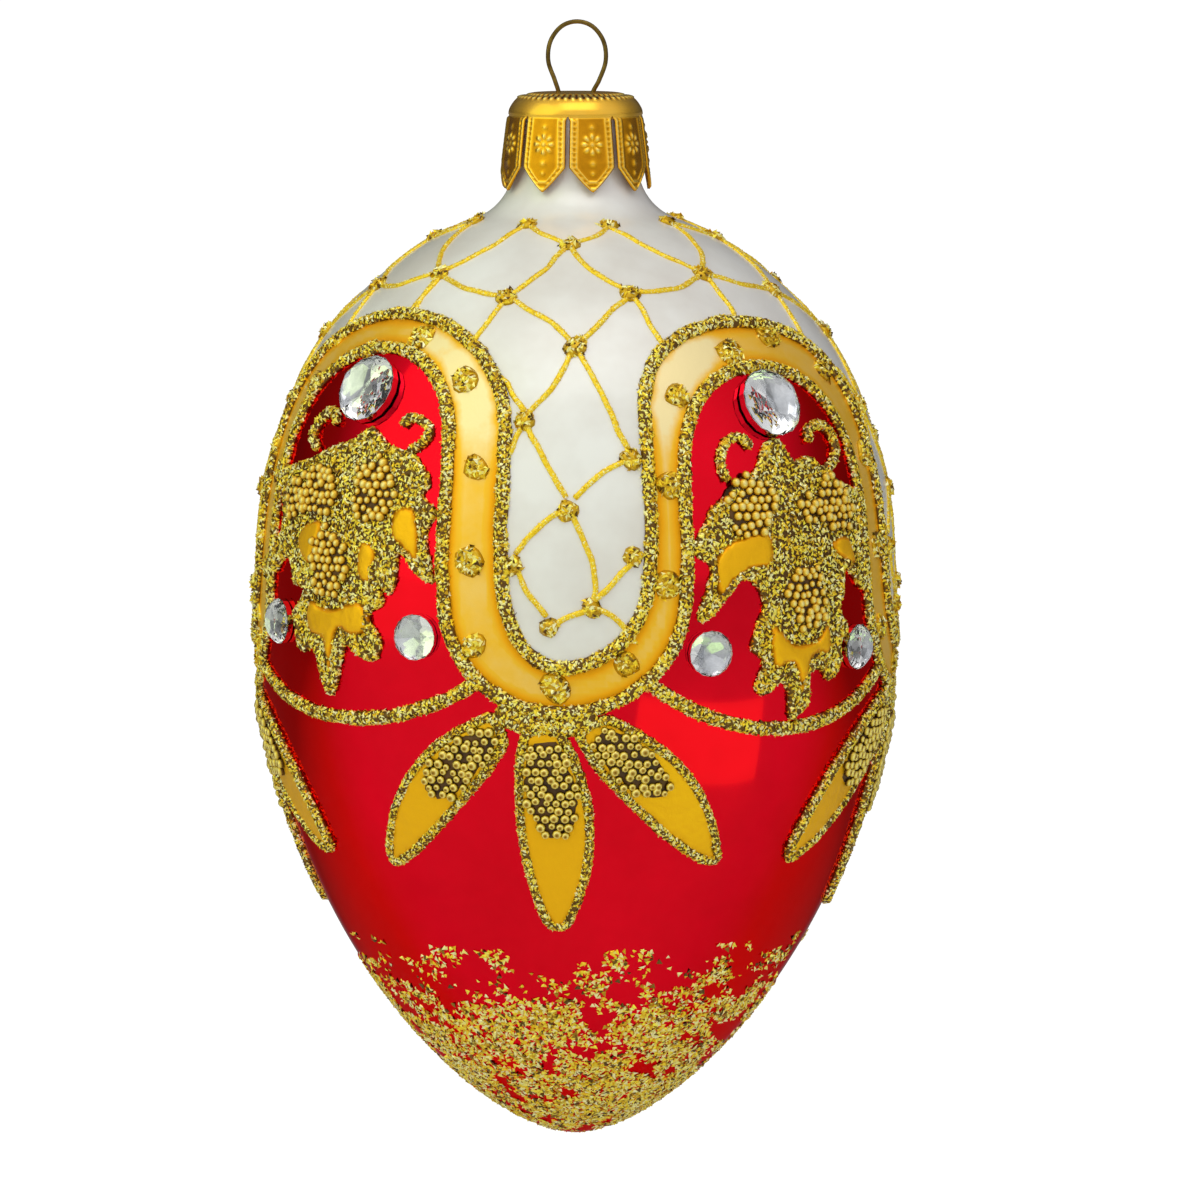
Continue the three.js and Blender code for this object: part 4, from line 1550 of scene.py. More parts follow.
@dataclass
class Net:
    """Fine glittered net over the white ground, with coarse knots on it and on the gold band."""

    width: float = 0.7
    height: float = 0.42
    density: float = 20.0
    flake: float = 0.26
    tilt: float = 30.0
    line_tone: float = 0.46
    knot_tone: float = 0.33
    knot_density: float = 8.0
    knot_flake: float = 0.74
    knot_tilt: float = 60.0
    knot_swell: float = 1.08
    knot_height: float = 0.7
    neck_height: float = 0.8
    band_height: float = 0.5
    band_radius: float = 1.7
    catch: float = 1.7
    gap: tuple[float, float] = (0.4, 7.0)
    band_knots: tuple[Place, ...] = (
        (-38.0, -36.8), (-23.5, -41.4), (-18.5, -51.5), (-18.8, -62.6), (-17.9, -72.6), (-3.4, -77.6),
        (9.0, -74.6), (16.3, -65.3), (17.5, -53.7), (21.0, -43.2), (36.6, -38.6),
    )
    knots: tuple[tuple[float, float, float], ...] = (
        (-2.4, -26.0, 1.3), (-19.0, -32.0, 1.3), (15.5, -31.5, 1.3), (0.0, -37.5, 1.35), (-9.8, -46.0, 1.2),
        (10.5, -50.5, 1.3), (-1.2, -56.5, 1.25), (-11.0, -63.0, 1.15), (10.1, -61.9, 1.1),
         (3.0, -68.0, 1.15),
        (-4.5, -70.3, 1.1), (-46.0, -29.6, 1.3),
    )
    neck_knots: tuple[tuple[float, float, float], ...] = ((-27.0, -23.9, 1.3), (18.0, -23.9, 1.3))
    neighbour_knot: tuple[float, float, float] = (-72.0, -23.9, 1.3)
    lines: tuple[tuple[Place, ...], ...] = (
        ((-2.4, -26.0), (-11.0, -29.4), (-19.0, -32.0)), ((-2.4, -26.0), (6.0, -29.2), (15.5, -31.5)),
        ((-19.0, -32.0), (-32.0, -31.2), (-46.0, -29.6)), ((-19.0, -32.0), (-5.7, -34.8), (0.0, -37.5)),
        ((-19.0, -32.0), (-21.5, -34.6), (-23.5, -37.0)), ((15.5, -31.5), (28.0, -31.2), (43.0, -29.6)),
        ((15.5, -31.5), (4.5, -35.5), (0.0, -37.5)), ((15.5, -31.5), (18.2, -34.6), (21.0, -38.6)),
        ((0.0, -37.5), (-4.4, -42.0), (-9.8, -45.5)), ((0.0, -37.5), (4.5, -42.0), (10.0, -49.5)),
        ((-15.0, -41.5), (-12.0, -43.4), (-9.8, -45.0)), ((-9.8, -46.0), (-11.4, -48.0), (-12.4, -50.0)),
        ((-9.8, -46.0), (-6.2, -50.0), (-1.5, -55.0)), ((10.0, -50.5), (5.0, -52.0), (0.0, -55.0)),
        ((-1.5, -56.0), (-6.4, -58.6), (-10.5, -61.5)),
        ((-1.0, -56.5), (1.8, -60.6), (3.7, -65.0), (3.0, -68.0)),
        ((-10.5, -63.0), (-8.2, -66.4), (-5.0, -69.0)), ((12.0, -61.5), (8.2, -63.8), (3.4, -67.4)),
        ((3.2, -67.8), (7.0, -69.4), (10.6, -72.2)), ((3.0, -68.0), (-0.6, -68.8), (-4.0, -70.5)),
        ((-46.0, -29.6), (-45.4, -31.6), (-45.0, -33.6)), ((-2.4, -26.0), (-12.0, -25.2), (-27.0, -24.0)),
        ((-2.4, -26.0), (8.0, -25.4), (17.0, -24.0)), ((-46.0, -29.6), (-58.0, -27.0), (-71.0, -24.0)),
        ((-46.0, -29.6), (-36.0, -27.0), (-27.0, -24.0)),
    )

    def build(self) -> list[bpy.types.Object]:
        """Makes the net and its knots.

        Returns:
            The two objects.
        """
        strands, lumps = [], []
        border = route(border_places(BorderKind.UPPER), BORDER_STEP, True)
        for i, valley in enumerate(VALLEYS):
            shift = valley.azimuth - VALLEYS[0].azimuth
            for j, line in enumerate(self.lines):
                places = [(azimuth + shift, z) for azimuth, z in line]
                for _ in range(2):
                    places = self.reached(places, shift, border)[::-1]
                strands.append(rope(places, self.width, self.height, seed=60.0 + 7 * i + j, step=0.7,
                                    swing=0.25))
            for j, (azimuth, z, radius) in enumerate(self.knots):
                lumps.append(knot(azimuth + shift, z, radius * self.knot_swell, self.knot_height,
                                  seed=90.0 + 5 * i + j))
            for azimuth, z, radius in self.neck_knots:
                lumps.append(knot(azimuth + shift, z, radius, self.neck_height, seed=130.0 + azimuth + i))
            for j, (azimuth, z) in enumerate(self.band_knots):
                radius = self.band_radius * (1 + 0.12 * math.sin(2.7 * j + i))
                lumps.append(knot(azimuth + shift, z, radius, self.band_height, seed=150.0 + 11 * i + j))
        strand = strands[0].joined(strands[1:])
        strand.values["tone"][:] = self.line_tone
        lump = lumps[0].joined(lumps[1:])
        lump.values["tone"][:] = self.knot_tone
        net = coated(strand, "glitter_net", self.density, self.flake, self.tilt, seed=31, least_tone=0.32)
        knots = coated(lump, "glitter_knots", self.knot_density, self.knot_flake, self.knot_tilt, seed=32,
                       least_tone=0.1)
        for thing in (net, knots):
            settle(thing, Slot.GLITTER)
        return [net, knots]

    def reached(self, line: list[Place], shift: float, border: np.ndarray) -> list[Place]:
        """Takes a line's last end on to the nearest border when no knot holds it.

        Args:
            line: azimuths and heights along the line.
            shift: azimuth by which the knots are turned.
            border: azimuths and heights along the border.

        Returns:
            The line, with the border's nearest place added when that is near enough.
        """
        azimuth, z = line[-1]
        knots = (*self.knots, *self.neck_knots, self.neighbour_knot)
        a_degree = 0.5
        if min(math.hypot((azimuth - shift - a) * a_degree, z - h) for a, h, _ in knots) < self.catch:
            return line
        apart = GLASS.point(border[:, 0], border[:, 1]) - GLASS.point(azimuth, z)
        distance = np.linalg.norm(apart, axis=-1) / MM
        nearest = int(distance.argmin())
        if not self.gap[0] < distance[nearest] < self.gap[1]:
            return line
        end = azimuth + turn_between(azimuth, border[nearest, 0])
        return [*line, (float(end), float(border[nearest, 1]))]


@dataclass(frozen=True)
class Leaf:
    """One raised leaf: its root, its tip and its width."""

    name: str
    root: Place
    tip: Place
    width: float
    cluster: tuple[float, float]


@dataclass
class Leaves:
    """Three gold leaves under each valley, with glittered rims and fields of beads at their roots.

    The half width along a leaf is a power of a sine of a skewed share of its length.
    """

    leaves: tuple[Leaf, ...] = (
        Leaf("left", (-11.0, -82.0), (-37.2, -99.3), 7.8, (0.04, 0.56)),
        Leaf("centre", (-3.4, -82.5), (-1.2, -107.1), 9.2, (0.04, 0.54)),
        Leaf("right", (4.9, -82.0), (31.6, -98.9), 8.2, (0.04, 0.54)),
    )
    bend: float = 1.2
    straight_azimuth: float = -3.4
    blunt_root: float = 0.06
    skew: float = 0.9
    fullness: float = 0.6
    least_share: float = 0.08
    paint_height: float = 0.55
    paint_inset: float = 0.4
    rim_width: float = 1.25
    rim_height: float = 0.85
    bead_inset: float = 0.85

    def build(self) -> list[bpy.types.Object]:
        """Makes the leaves.

        Returns:
            The objects.
        """
        made = []
        for i, valley in enumerate(VALLEYS):
            for j, leaf in enumerate(self.leaves):
                made.append(self.leaf(valley.azimuth, leaf, f"leaf_{i + 1}_{leaf.name}", 200 + 10 * i + j))
        return made

    def middle_line(self, azimuth: float, leaf: Leaf) -> np.ndarray:
        """Places a leaf's middle line under its valley.

        Args:
            azimuth: the valley's azimuth.
            leaf: the leaf.

        Returns:
            Stations along the line.
        """
        (root, root_z), (tip, tip_z) = leaf.root, leaf.tip
        aside = math.copysign(self.bend, root - self.straight_azimuth)
        middle = ((root + tip) / 2 + aside, (root_z + tip_z) / 2)
        return route([(azimuth + a, z) for a, z in ((root, root_z), middle, (tip, tip_z))], 0.6)

    def swell(self, share: np.ndarray) -> np.ndarray:
        """Share of a leaf's full width at shares of its length."""
        skewed = self.blunt_root + (1 - self.blunt_root) * share ** self.skew
        return np.sin(math.pi * skewed) ** self.fullness

    def outline(self, line: np.ndarray, width: float) -> np.ndarray:
        """Outline of a leaf.

        Args:
            line: stations of its middle.
            width: its full width in millimetres.

        Returns:
            Azimuths and heights of a closed outline.
        """
        half = width / 2 * np.maximum(self.least_share, self.swell(np.linspace(0, 1, len(line))))
        return np.concatenate([beside(line, half, False), beside(line, -half, False)[::-1]])

    def cluster(self, line: np.ndarray, leaf: Leaf) -> np.ndarray:
        """Outline of the beads on a leaf, rounded towards its tip.

        Args:
            line: stations of the leaf's middle.
            leaf: its shape.

        Returns:
            Azimuths and heights of a closed outline.
        """
        start, end = leaf.cluster
        share = np.linspace(0, 1, len(line))
        kept = (share >= start) & (share <= end)
        reach = np.clip((share[kept] - start) / (end - start), 0, 1)
        full = leaf.width / 2 * self.swell(share[kept]) - self.bead_inset
        half = np.maximum(0.2, full * np.sqrt(np.clip(1 - reach ** 3.2, 0, 1)))
        stretch = line[kept]
        return np.concatenate([beside(stretch, half, False), beside(stretch, -half, False)[::-1]])

    def leaf(self, azimuth: float, leaf: Leaf, node: str, seed: int) -> bpy.types.Object:
        """Makes one leaf.

        Args:
            azimuth: azimuth of the valley above it.
            leaf: its shape.
            node: the solid that it replaces.
            seed: picks its flakes and beads.

        Returns:
            The object.
        """
        line = self.middle_line(azimuth, leaf)
        paint = outline_plate(self.outline(line, leaf.width - self.paint_inset), self.paint_height,
                              edge=0.7, spacing=0.75)
        parts = [dressed(paint, f"{node}_paint", RAISED_PAINT)]
        rim = self.outline(line, leaf.width - self.rim_width)
        edge = rope([tuple(p) for p in rim[::3]], self.rim_width, self.rim_height, float(seed), closed=True,
                    swing=0.08)
        parts.append(coated(edge, f"{node}_rim", density=11.0, flake=0.48, tilt=38.0, seed=seed))
        parts += beaded(self.cluster(line, leaf), node, self.paint_height - 0.15, seed, RING_HIGHLIGHT_BEAD_GOLD)
        thing = joined(f"gold_{node}", parts)
        settle(thing, Slot.PAINT, node)
        return thing


@dataclass
class SprayShape:
    """Outline and filling of a spray, as azimuths from its panel and heights from its large stone."""

    outline: tuple[Place, ...]
    tendrils: tuple[tuple[Place, ...], ...]
    clusters: tuple[tuple[Place, float, float], ...]
    patches: tuple[tuple[Place, ...], ...]


LEFT_SPRAY = SprayShape(
    outline=(
        (3.7, -4.2), (6.1, -5.1), (9.8, -6.4), (13.5, -6.7), (15.9, -7.8), (18.8, -10.3), (17.5, -11.8),
        (20.4, -13.6), (18.8, -16.1), (19.9, -20.1), (20.3, -22.2), (16.7, -20.8), (13.5, -18.6),
        (12.7, -22.2), (11.4, -23.7), (9.3, -21.9), (8.2, -20.1), (9.3, -22.9), (10.3, -24.7),
         (7.2, -26.0), (7.2, -26.9),
        (9.8, -29.4), (8.2, -31.6), (4.0, -30.9), (1.9, -29.8), (0.3, -31.9), (-1.3, -34.8), (-3.1, -36.4),
        (-5.0, -34.5), (-6.1, -31.6), (-7.6, -30.7), (-10.8, -31.4), (-11.9, -30.5), (-12.9, -28.0),
        (-13.7, -26.9), (-10.8, -25.1), (-9.8, -23.7), (-12.9, -23.3), (-14.3, -21.1), (-16.6, -20.1),
        (-20.0, -21.5), (-22.0, -22.4), (-20.9, -18.6), (-18.8, -16.8), (-21.5, -10.0), (-19.8, -9.6),
        (-12.9, -8.5), (-10.3, -8.0), (-5.5, -6.7), (-0.2, -5.6),
    ),
    tendrils=(
        ((13.5, -6.7), (16.2, -5.6), (17.0, -4.2), (15.1, -3.1), (11.9, -2.9), (10.9, -3.7)),
        ((-11.3, -7.1), (-13.7, -6.0), (-13.2, -4.2), (-10.8, -2.8), (-8.2, -2.9), (-6.9, -4.0)),
    ),
    clusters=(
        ((7.3, -11.4), 3.3, 4.3), ((-7.4, -12.0), 3.6, 3.3), ((-2.6, -20.4), 3.5, 4.4),
        ((-14.4, -13.2), 2.3, 2.8),
    ),
    patches=(
        ((12.2, -13.6), (15.6, -13.2), (17.4, -16.0), (17.2, -20.0), (14.8, -18.4), (11.8, -16.6)),
        ((-10.6, -16.2), (-5.4, -15.6), (-6.2, -18.4), (-9.0, -20.8), (-12.6, -18.0)),
        ((-8.0, -25.2), (-2.0, -25.8), (5.6, -24.8), (7.6, -27.6), (3.6, -28.9), (0.0, -28.2),
         (-2.8, -33.6), (-4.4, -29.6), (-8.4, -28.6)),
        ((5.2, -17.6), (8.4, -18.4), (7.2, -22.4), (4.8, -21.6)),
    ),
)
RIGHT_SPRAY = SprayShape(
    outline=(
        (-0.1, -4.0), (3.1, -6.8), (6.8, -6.3), (11.6, -8.1), (14.2, -9.5), (19.5, -10.6), (21.8, -12.4),
        (19.5, -16.4), (21.2, -19.6), (21.6, -21.4), (20.0, -22.5), (17.4, -21.1), (14.2, -19.6),
        (13.2, -22.9), (12.1, -24.3), (14.7, -27.2), (12.6, -28.6), (12.6, -31.2), (10.0, -33.0),
        (6.8, -31.5), (4.4, -31.9), (4.4, -35.6), (0.5, -37.3), (-0.6, -34.0), (-2.2, -32.6),
        (-3.8, -33.3), (-6.4, -34.2), (-8.0, -33.3),
        (-6.4, -30.1), (-9.1, -28.6), (-8.0, -26.1), (-6.4, -23.2), (-8.5, -20.7), (-10.6, -20.2),
        (-13.3, -21.8), (-17.5, -24.7), (-19.6, -25.0), (-17.0, -18.6), (-20.2, -16.7), (-17.5, -13.1),
        (-16.5, -11.7), (-12.8, -10.3), (-11.2, -9.2), (-6.4, -7.4), (-3.2, -4.5),
    ),
    tendrils=(
        ((-12.8, -8.5), (-13.6, -6.7), (-12.8, -4.9), (-10.6, -3.6), (-8.0, -3.8), (-6.9, -4.9)),
        ((11.6, -8.1), (15.3, -6.7), (16.3, -5.2), (15.3, -3.4), (12.1, -2.7), (8.9, -3.4), (8.4, -4.5)),
    ),
    clusters=(
        ((-8.4, -11.8), 3.6, 4.0), ((11.6, -12.0), 3.6, 3.7), ((2.8, -22.8), 3.5, 4.3),
        ((4.4, -12.6), 1.6, 2.0),
    ),
    patches=(
        ((-12.6, -15.6), (-5.0, -15.0), (-4.6, -18.6), (-8.8, -19.0), (-12.0, -20.0), (-15.4, -22.2),
         (-16.2, -17.8)),
        ((-4.6, -25.6), (0.2, -28.2), (6.2, -27.8), (8.6, -26.0), (9.4, -29.6), (5.2, -29.8), (2.6, -34.4),
         (0.2, -30.6), (-4.2, -31.0)),
        ((10.2, -16.6), (15.6, -16.2), (17.4, -19.4), (12.4, -18.4)),
    ),
)


@dataclass
class Sprays:
    """Gold sprays under the large stones, with glittered rims, beads and tendrils."""

    ground_height: float = 0.42
    ground_tone: float = 0.12
    rim_width: float = 1.15
    rim_height: float = 0.72
    tendril_height: float = 0.82
    inset: float = 0.5

    def build(self) -> list[bpy.types.Object]:
        """Makes the four sprays.

        Returns:
            The objects.
        """
        shapes = (LEFT_SPRAY, RIGHT_SPRAY, LEFT_SPRAY, RIGHT_SPRAY)
        return [self.spray(i, panel, shape) for i, (panel, shape) in enumerate(zip(PANELS, shapes))]

    def spray(self, index: int, panel: Panel, shape: SprayShape) -> bpy.types.Object:
        """Makes one spray.

        Args:
            index: its number from 0.
            panel: the panel that it lies on.
            shape: its outline and filling.

        Returns:
            The object.
        """
        node = f"spray_{index + 1}"

        def moved(places: Iterable[Place]) -> list[Place]:
            """Places of the shape on this panel."""
            return [(panel.azimuth + a, panel.stone_z + z) for a, z in places]

        edge = route(moved(shape.outline), 0.6, True)
        ground = outline_plate(edge, self.ground_height, edge=0.8, spacing=0.8)
        ground.values["tone"][:] = self.ground_tone
        line = beside(edge, np.full(len(edge), self.inset), True)
        ropes = [sweep(line, np.full(len(edge), self.rim_width), self.rim_height, True)]
        for j, places in enumerate(shape.tendrils):
            ropes.append(rope(moved(places), self.rim_width, self.tendril_height,
                              seed=300.0 + 10 * index + j))
        parts = [coated(ground.joined(ropes), f"{node}_glitter", density=8.0, flake=0.6, tilt=42.0,
                        seed=50 + index)]
        for j, places in enumerate(shape.patches):
            patch = outline_plate(route(moved(places), 0.6, True), height=0.3, edge=0.5, spacing=0.7,
                                  lift=self.ground_height)
            parts.append(dressed(patch, f"{node}_paint_{j}", RAISED_PAINT))
        for j, ((azimuth, z), half_width, half_height) in enumerate(shape.clusters):
            outline = circle_outline(panel.azimuth + azimuth, panel.stone_z + z, half_width, sides=22,
                                     seed=360.0 + 10 * index + j, uneven=0.3, tall=half_height / half_width)
            parts += beaded(outline, f"{node}_{j}", self.ground_height - PLATE_FOOT, 400 + 10 * index + j,
                            BEAD_GOLD)
        thing = joined(f"gold_{node}", parts)
        settle(thing, Slot.GLITTER, node)
        return thing


@dataclass(frozen=True)
class Cut:
    """Width and height of a crystal in millimetres, and the share of its width that the flat top takes."""

    width: float
    height: float
    table: float


@dataclass
class Crystals:
    """Round cut crystals on silver foil."""

    sides: int = 8
    large: Cut = Cut(8.6, 2.5, 0.56)
    small: Cut = Cut(5.6, 1.6, 0.58)
    fit: float = 0.985
    base: float = 0.3
    foot: float = 0.25
    point_share: float = 0.06
    foil_share: float = 0.27
    foil_point_share: float = 0.03

    def build(self) -> list[bpy.types.Object]:
        """Makes the large and the small crystals.

        Returns:
            The objects.
        """
        made = []
        for i, panel in enumerate(PANELS):
            made.append(self.crystal(f"large_crystal_{i + 1}", panel.azimuth, panel.stone_z, self.large))
            for name, (aside, z) in zip(("left", "right"), panel.side_stones):
                node = f"small_crystal_{i + 1}_{name}"
                made.append(self.crystal(node, panel.azimuth + aside, z, self.small))
        return made

    def crystal(self, node: str, azimuth: float, z: float, cut: Cut) -> bpy.types.Object:
        """Makes one crystal with its foil.

        Args:
            node: the solid that it replaces.
            azimuth: azimuth of its middle.
            z: height of its middle.
            cut: its size.

        Returns:
            The object.
        """
        radius, height, base = cut.width / 2 * self.fit, cut.height, self.base
        half = math.pi / self.sides
        count = 2 * self.sides
        rings = (
            (radius * 0.97, 0.30, count, 0.0), (radius, 0.36, count, 0.0),
            (radius * (cut.table + 1) / 2, 0.80, self.sides, half),
            (radius * cut.table, 1.0, self.sides, 0.0),
        )
        gem = bmesh.new()
        lower, girdle, star, flat = (
            self.ring(gem, r, share * height + base, n, turn) for r, share, n, turn in rings)
        tip = gem.verts.new((0, 0, base + self.point_share * height))
        for i in range(count):
            gem.faces.new((lower[i], tip, lower[(i + 1) % count]))
            gem.faces.new((lower[i], lower[(i + 1) % count], girdle[(i + 1) % count], girdle[i]))
        for i in range(self.sides):
            j = (i + 1) % self.sides
            gem.faces.new((girdle[2 * i], girdle[2 * i + 1], star[i]))
            gem.faces.new((girdle[2 * i + 1], girdle[(2 * i + 2) % count], star[i]))
            gem.faces.new((star[i], girdle[(2 * i + 2) % count], star[j], flat[j]))
            gem.faces.new((flat[i], star[i], flat[j]))
        gem.faces.new(flat)
        foil = bmesh.new()
        top = base + self.foil_share * height
        outer, inner, skirt = (
            self.ring(foil, radius * share, h, count, 0.0)
            for share, h in ((0.995, top), (0.94, top), (0.985, base - self.foot)))
        point = foil.verts.new((0, 0, base + self.foil_point_share * height))
        foot = foil.verts.new((0, 0, base - self.foot))
        for i in range(count):
            j = (i + 1) % count
            foil.faces.new((inner[i], inner[j], point))
            foil.faces.new((outer[i], outer[j], inner[j], inner[i]))
            foil.faces.new((skirt[i], skirt[j], outer[j], outer[i]))
            foil.faces.new((skirt[j], skirt[i], foot))
        parts = [finished(gem, f"{node}_gem", CLEAR_CRYSTAL, False),
                 finished(foil, f"{node}_foil", SILVER_FOIL, False)]
        for part in parts:
            part.data.transform(self.seat(azimuth, z))
        thing = joined(f"cut_{node}", parts)
        settle(thing, Slot.CRYSTAL, node)
        return thing

    @staticmethod
    def ring(mesh: bmesh.types.BMesh, radius: float, height: float, sides: int, turn: float) -> list:
        """Adds a ring of vertices."""
        angles = [turn + 2 * math.pi * i / sides for i in range(sides)]
        return [mesh.verts.new((radius * math.cos(a), radius * math.sin(a), height)) for a in angles]

    @staticmethod
    def seat(azimuth: float, z: float) -> Matrix:
        """Placement of a stone on the glass, from millimetres to metres.

        Args:
            azimuth: azimuth of the stone's middle.
            z: height of its middle.

        Returns:
            The placement.
        """
        spot = GLASS.point(np.array([azimuth]), np.array([z]))[0]
        out = GLASS.outward(np.array([azimuth]), np.array([z]))[0]
        turned = Vector((0, 0, 1)).rotation_difference(Vector(out)).to_matrix().to_4x4()
        return Matrix.Translation(Vector(spot)) @ turned @ Matrix.Scale(MM, 4)


@dataclass
class TipGlitter:
    """Loose glitter over the lower end of the egg, in patches."""

    top_z: float = -110.0
    rows: int = 70
    columns: int = 160
    lift: float = 0.02
    sink: float = 0.32
    sink_height: float = 0.5
    density: float = 9.0

    def build(self) -> bpy.types.Object:
        """Makes the glitter.

        Returns:
            The object.
        """
        heights = np.linspace(self.top_z, GLASS.bottom_z + self.lift, self.rows)
        heights = GLASS.bottom_z + (heights - GLASS.bottom_z) ** 2 / (self.top_z - GLASS.bottom_z)
        count = self.columns
        turns = np.linspace(0, 360, count, endpoint=False)
        lifts = self.lift - self.sink * np.exp(-(heights - GLASS.bottom_z) / self.sink_height)
        rings = [GLASS.point(turns, np.full(count, z), lift) for z, lift in zip(heights, lifts)]
        outs = [GLASS.outward(turns, np.full(count, z)) for z in heights]
        vertices, outward = np.concatenate(rings), np.concatenate(outs)
        faces = [face for row in range(self.rows - 1) for face in band(row, row + 1, count)]
        shape = Shape(vertices, faces, outward, base_values(len(vertices)))
        shape.values["cover"] = np.array([self.cover(Vector(p / MM)) for p in vertices])
        thing = coated(shape, "tip_glitter", self.density, flake=0.72, tilt=36.0, seed=71, keep_base=False,
                       least_tone=0.16)
        settle(thing, Slot.GLITTER)
        return thing

    def cover(self, point: Vector) -> float:
        """Share of the full density at a point.

        Args:
            point: a point of the glass in millimetres.

        Returns:
            The share, which grows with the depth and in patches from 0 to 1.
        """
        depth = (self.top_z - point.z) / (self.top_z - GLASS.bottom_z)
        flat = Vector((point.x, point.y, point.z * 1.7))
        patches = 0.7 * noise.noise(flat * 0.14 + Vector((4.0, 2.0, 1.0))) + 1.1 * noise.noise(flat * 0.5)
        return min(1.0, max(0.0, (patches + min(2.3 * depth - 0.6, 0.37 * depth - 0.02)) * 5.0))


def hump(distance: float, width: float) -> float:
    """Height from 1 to 0 of a rounded bump, at a distance from its middle."""
    return math.exp(-(distance / width) ** 2)


@dataclass
class CrownCap:
    """Thin stamped cap with nine embossed petals and a knurled button on top."""

    petals: int = 9
    first_azimuth: float = -66.4
    columns: int = 32
    sheet: float = 0.3
    slit: float = 0.45
    slit_top_z: float = -10.95
    point_z: float = -17.2
    tip_z: float = -20.2
    pattern_top_z: float = -11.3
    flower_z: float = -14.4
    rung_spacing: float = 0.62
    spots: tuple[tuple[float, float], ...] = ((-12.35, 0.3), (-16.7, 0.34), (-17.9, 0.24))
    knurl: tuple[float, float] = (5.5, 7.1)
    knurl_height: float = 0.24
    profile: tuple[Place, ...] = (
        (0.0, -8.42), (5.45, -8.42), (5.85, -8.66), (6.6, -8.72), (7.4, -9.3), (8.1, -10.4), (8.42, -12.0),
        (9.02, -16.6), (9.17, -20.2),
    )

    def radius(self, z: float) -> float:
        """Radius of the cap's skirt at a height."""
        return float(np.interp(-z, [-h for _, h in self.profile[3:]], [r for r, _ in self.profile[3:]]))

    def half_width(self, z: float) -> float:
        """Half of a petal's width in degrees at a height."""
        full = 180 / self.petals
        if z > self.slit_top_z:
            return full
        gap = math.degrees(self.slit / 2 / self.radius(z)) * min(1.0, (self.slit_top_z - z) / 0.6)
        side = full - gap
        if z > self.point_z:
            return side
        share = (self.point_z - z) / (self.point_z - self.tip_z)
        return side * max(0.0, 1 - share) ** 0.86

    def emboss(self, u: float, z: float) -> float:
        """Height of the stamped pattern.

        Args:
            u: place across the petal in millimetres from its middle.
            z: height in millimetres.

        Returns:
            Its height in millimetres.
        """
        half = math.radians(self.half_width(z)) * self.radius(z)
        inward = half - abs(u)
        if z < self.point_z:
            inward = min(inward, (z - self.tip_z) * 0.75)
        if z >= self.pattern_top_z:
            return 0.0
        above = z - self.flower_z
        reach = math.hypot(u, above)
        petal = 0.5 + 0.5 * math.cos(8 * math.atan2(above, u))
        height = 0.22 * hump(inward - 0.28, 0.13) + 0.18 * hump(inward - 0.95, 0.11)
        height += 0.16 * hump(inward - 0.62, 0.17) * max(0.0, math.sin(2 * math.pi * z / self.rung_spacing))
        height += 0.26 * hump(reach - 0.92, 0.36) * petal
        height += 0.2 * hump(reach, 0.3)
        for spot_z, size in self.spots:
            height += 0.15 * hump(math.hypot(u, z - spot_z), size)
        return height

    def build(self) -> bpy.types.Object:
        """Makes the cap.

        Returns:
            The object.
        """
        mesh = bmesh.new()
        # This layer holds painted light: a painted highlight on the top and the raised embossing and knurls,
        # painted shade low on the petals.
        relief = mesh.verts.layers.float.new("relief")
        ring_count = self.petals * self.columns
        full = 180 / self.petals

        def vertex(radius: float, azimuth: float, z: float, raised: float) -> bmesh.types.BMVert:
            """Adds a vertex, with a painted light value: a painted highlight on the top and where the metal
            is raised, and painted shade low on the petals.
            """
            angle = math.radians(azimuth)
            reach = radius + raised
            made = mesh.verts.new((reach * math.sin(angle) * MM, -reach * math.cos(angle) * MM, z * MM))
            made[relief] = min(1.0, (0.5 if z > self.slit_top_z - 0.3 else 0.12) + raised * 3.4)
            return made

        rows = []
        path = smooth_profile(self.profile[:6] + ((8.2, self.slit_top_z),), 0.28)
        for radius, z in path[1:]:
            ring = []
            for i in range(ring_count):
                azimuth = self.first_azimuth - full + 360 * i / ring_count
                wave = math.sin(2 * math.pi * (i + 0.5) / 6)
                knurled = self.knurl[0] < radius < self.knurl[1]
                ring.append(vertex(radius, azimuth, z, self.knurl_height * wave if knurled else 0.0))
            rows.append(ring)
        centre = mesh.verts.new((0, 0, path[0][1] * MM))
        centre[relief] = 0.3
        first = rows[0]
        for i in range(ring_count):
            mesh.faces.new((centre, first[i], first[(i + 1) % ring_count]))
        for upper, lower in zip(rows, rows[1:]):
            for i in range(ring_count):
                j = (i + 1) % ring_count
                mesh.faces.new((upper[i], lower[i], lower[j], upper[j]))
        heights = np.linspace(self.slit_top_z, self.tip_z + 0.04, 64)[1:]
        for petal in range(self.petals):
            middle = self.first_azimuth + 360 * petal / self.petals
            start = petal * self.columns
            upper = [rows[-1][(start + k) % ring_count] for k in range(self.columns + 1)]
            for z in heights:
                half = self.half_width(z)
                radius = self.radius(z)
                lower = []
                for k in range(self.columns + 1):
                    aside = half * (2 * k / self.columns - 1)
                    across = math.radians(aside) * radius
                    lower.append(vertex(radius - 0.12, middle + aside, z, self.emboss(across, z)))
                for k in range(self.columns):
                    mesh.faces.new((upper[k], lower[k], lower[k + 1], upper[k + 1]))
                upper = lower
        thing = finished(mesh, "stamped_crown_cap", STAMPED_GOLD)
        wall = thing.modifiers.new("sheet", "SOLIDIFY")
        wall.thickness = self.sheet * MM
        wall.offset = -1
        wall.use_even_offset = False
        settle(frozen(thing), Slot.CAP, "crown_cap")
        return thing


def smooth_profile(profile: Sequence[Place], step: float) -> list[Place]:
    """Even points along a rounded profile of radii and heights."""
    points = smooth_path(np.array(profile, float), False, step)
    return [(float(r), float(z)) for r, z in points]


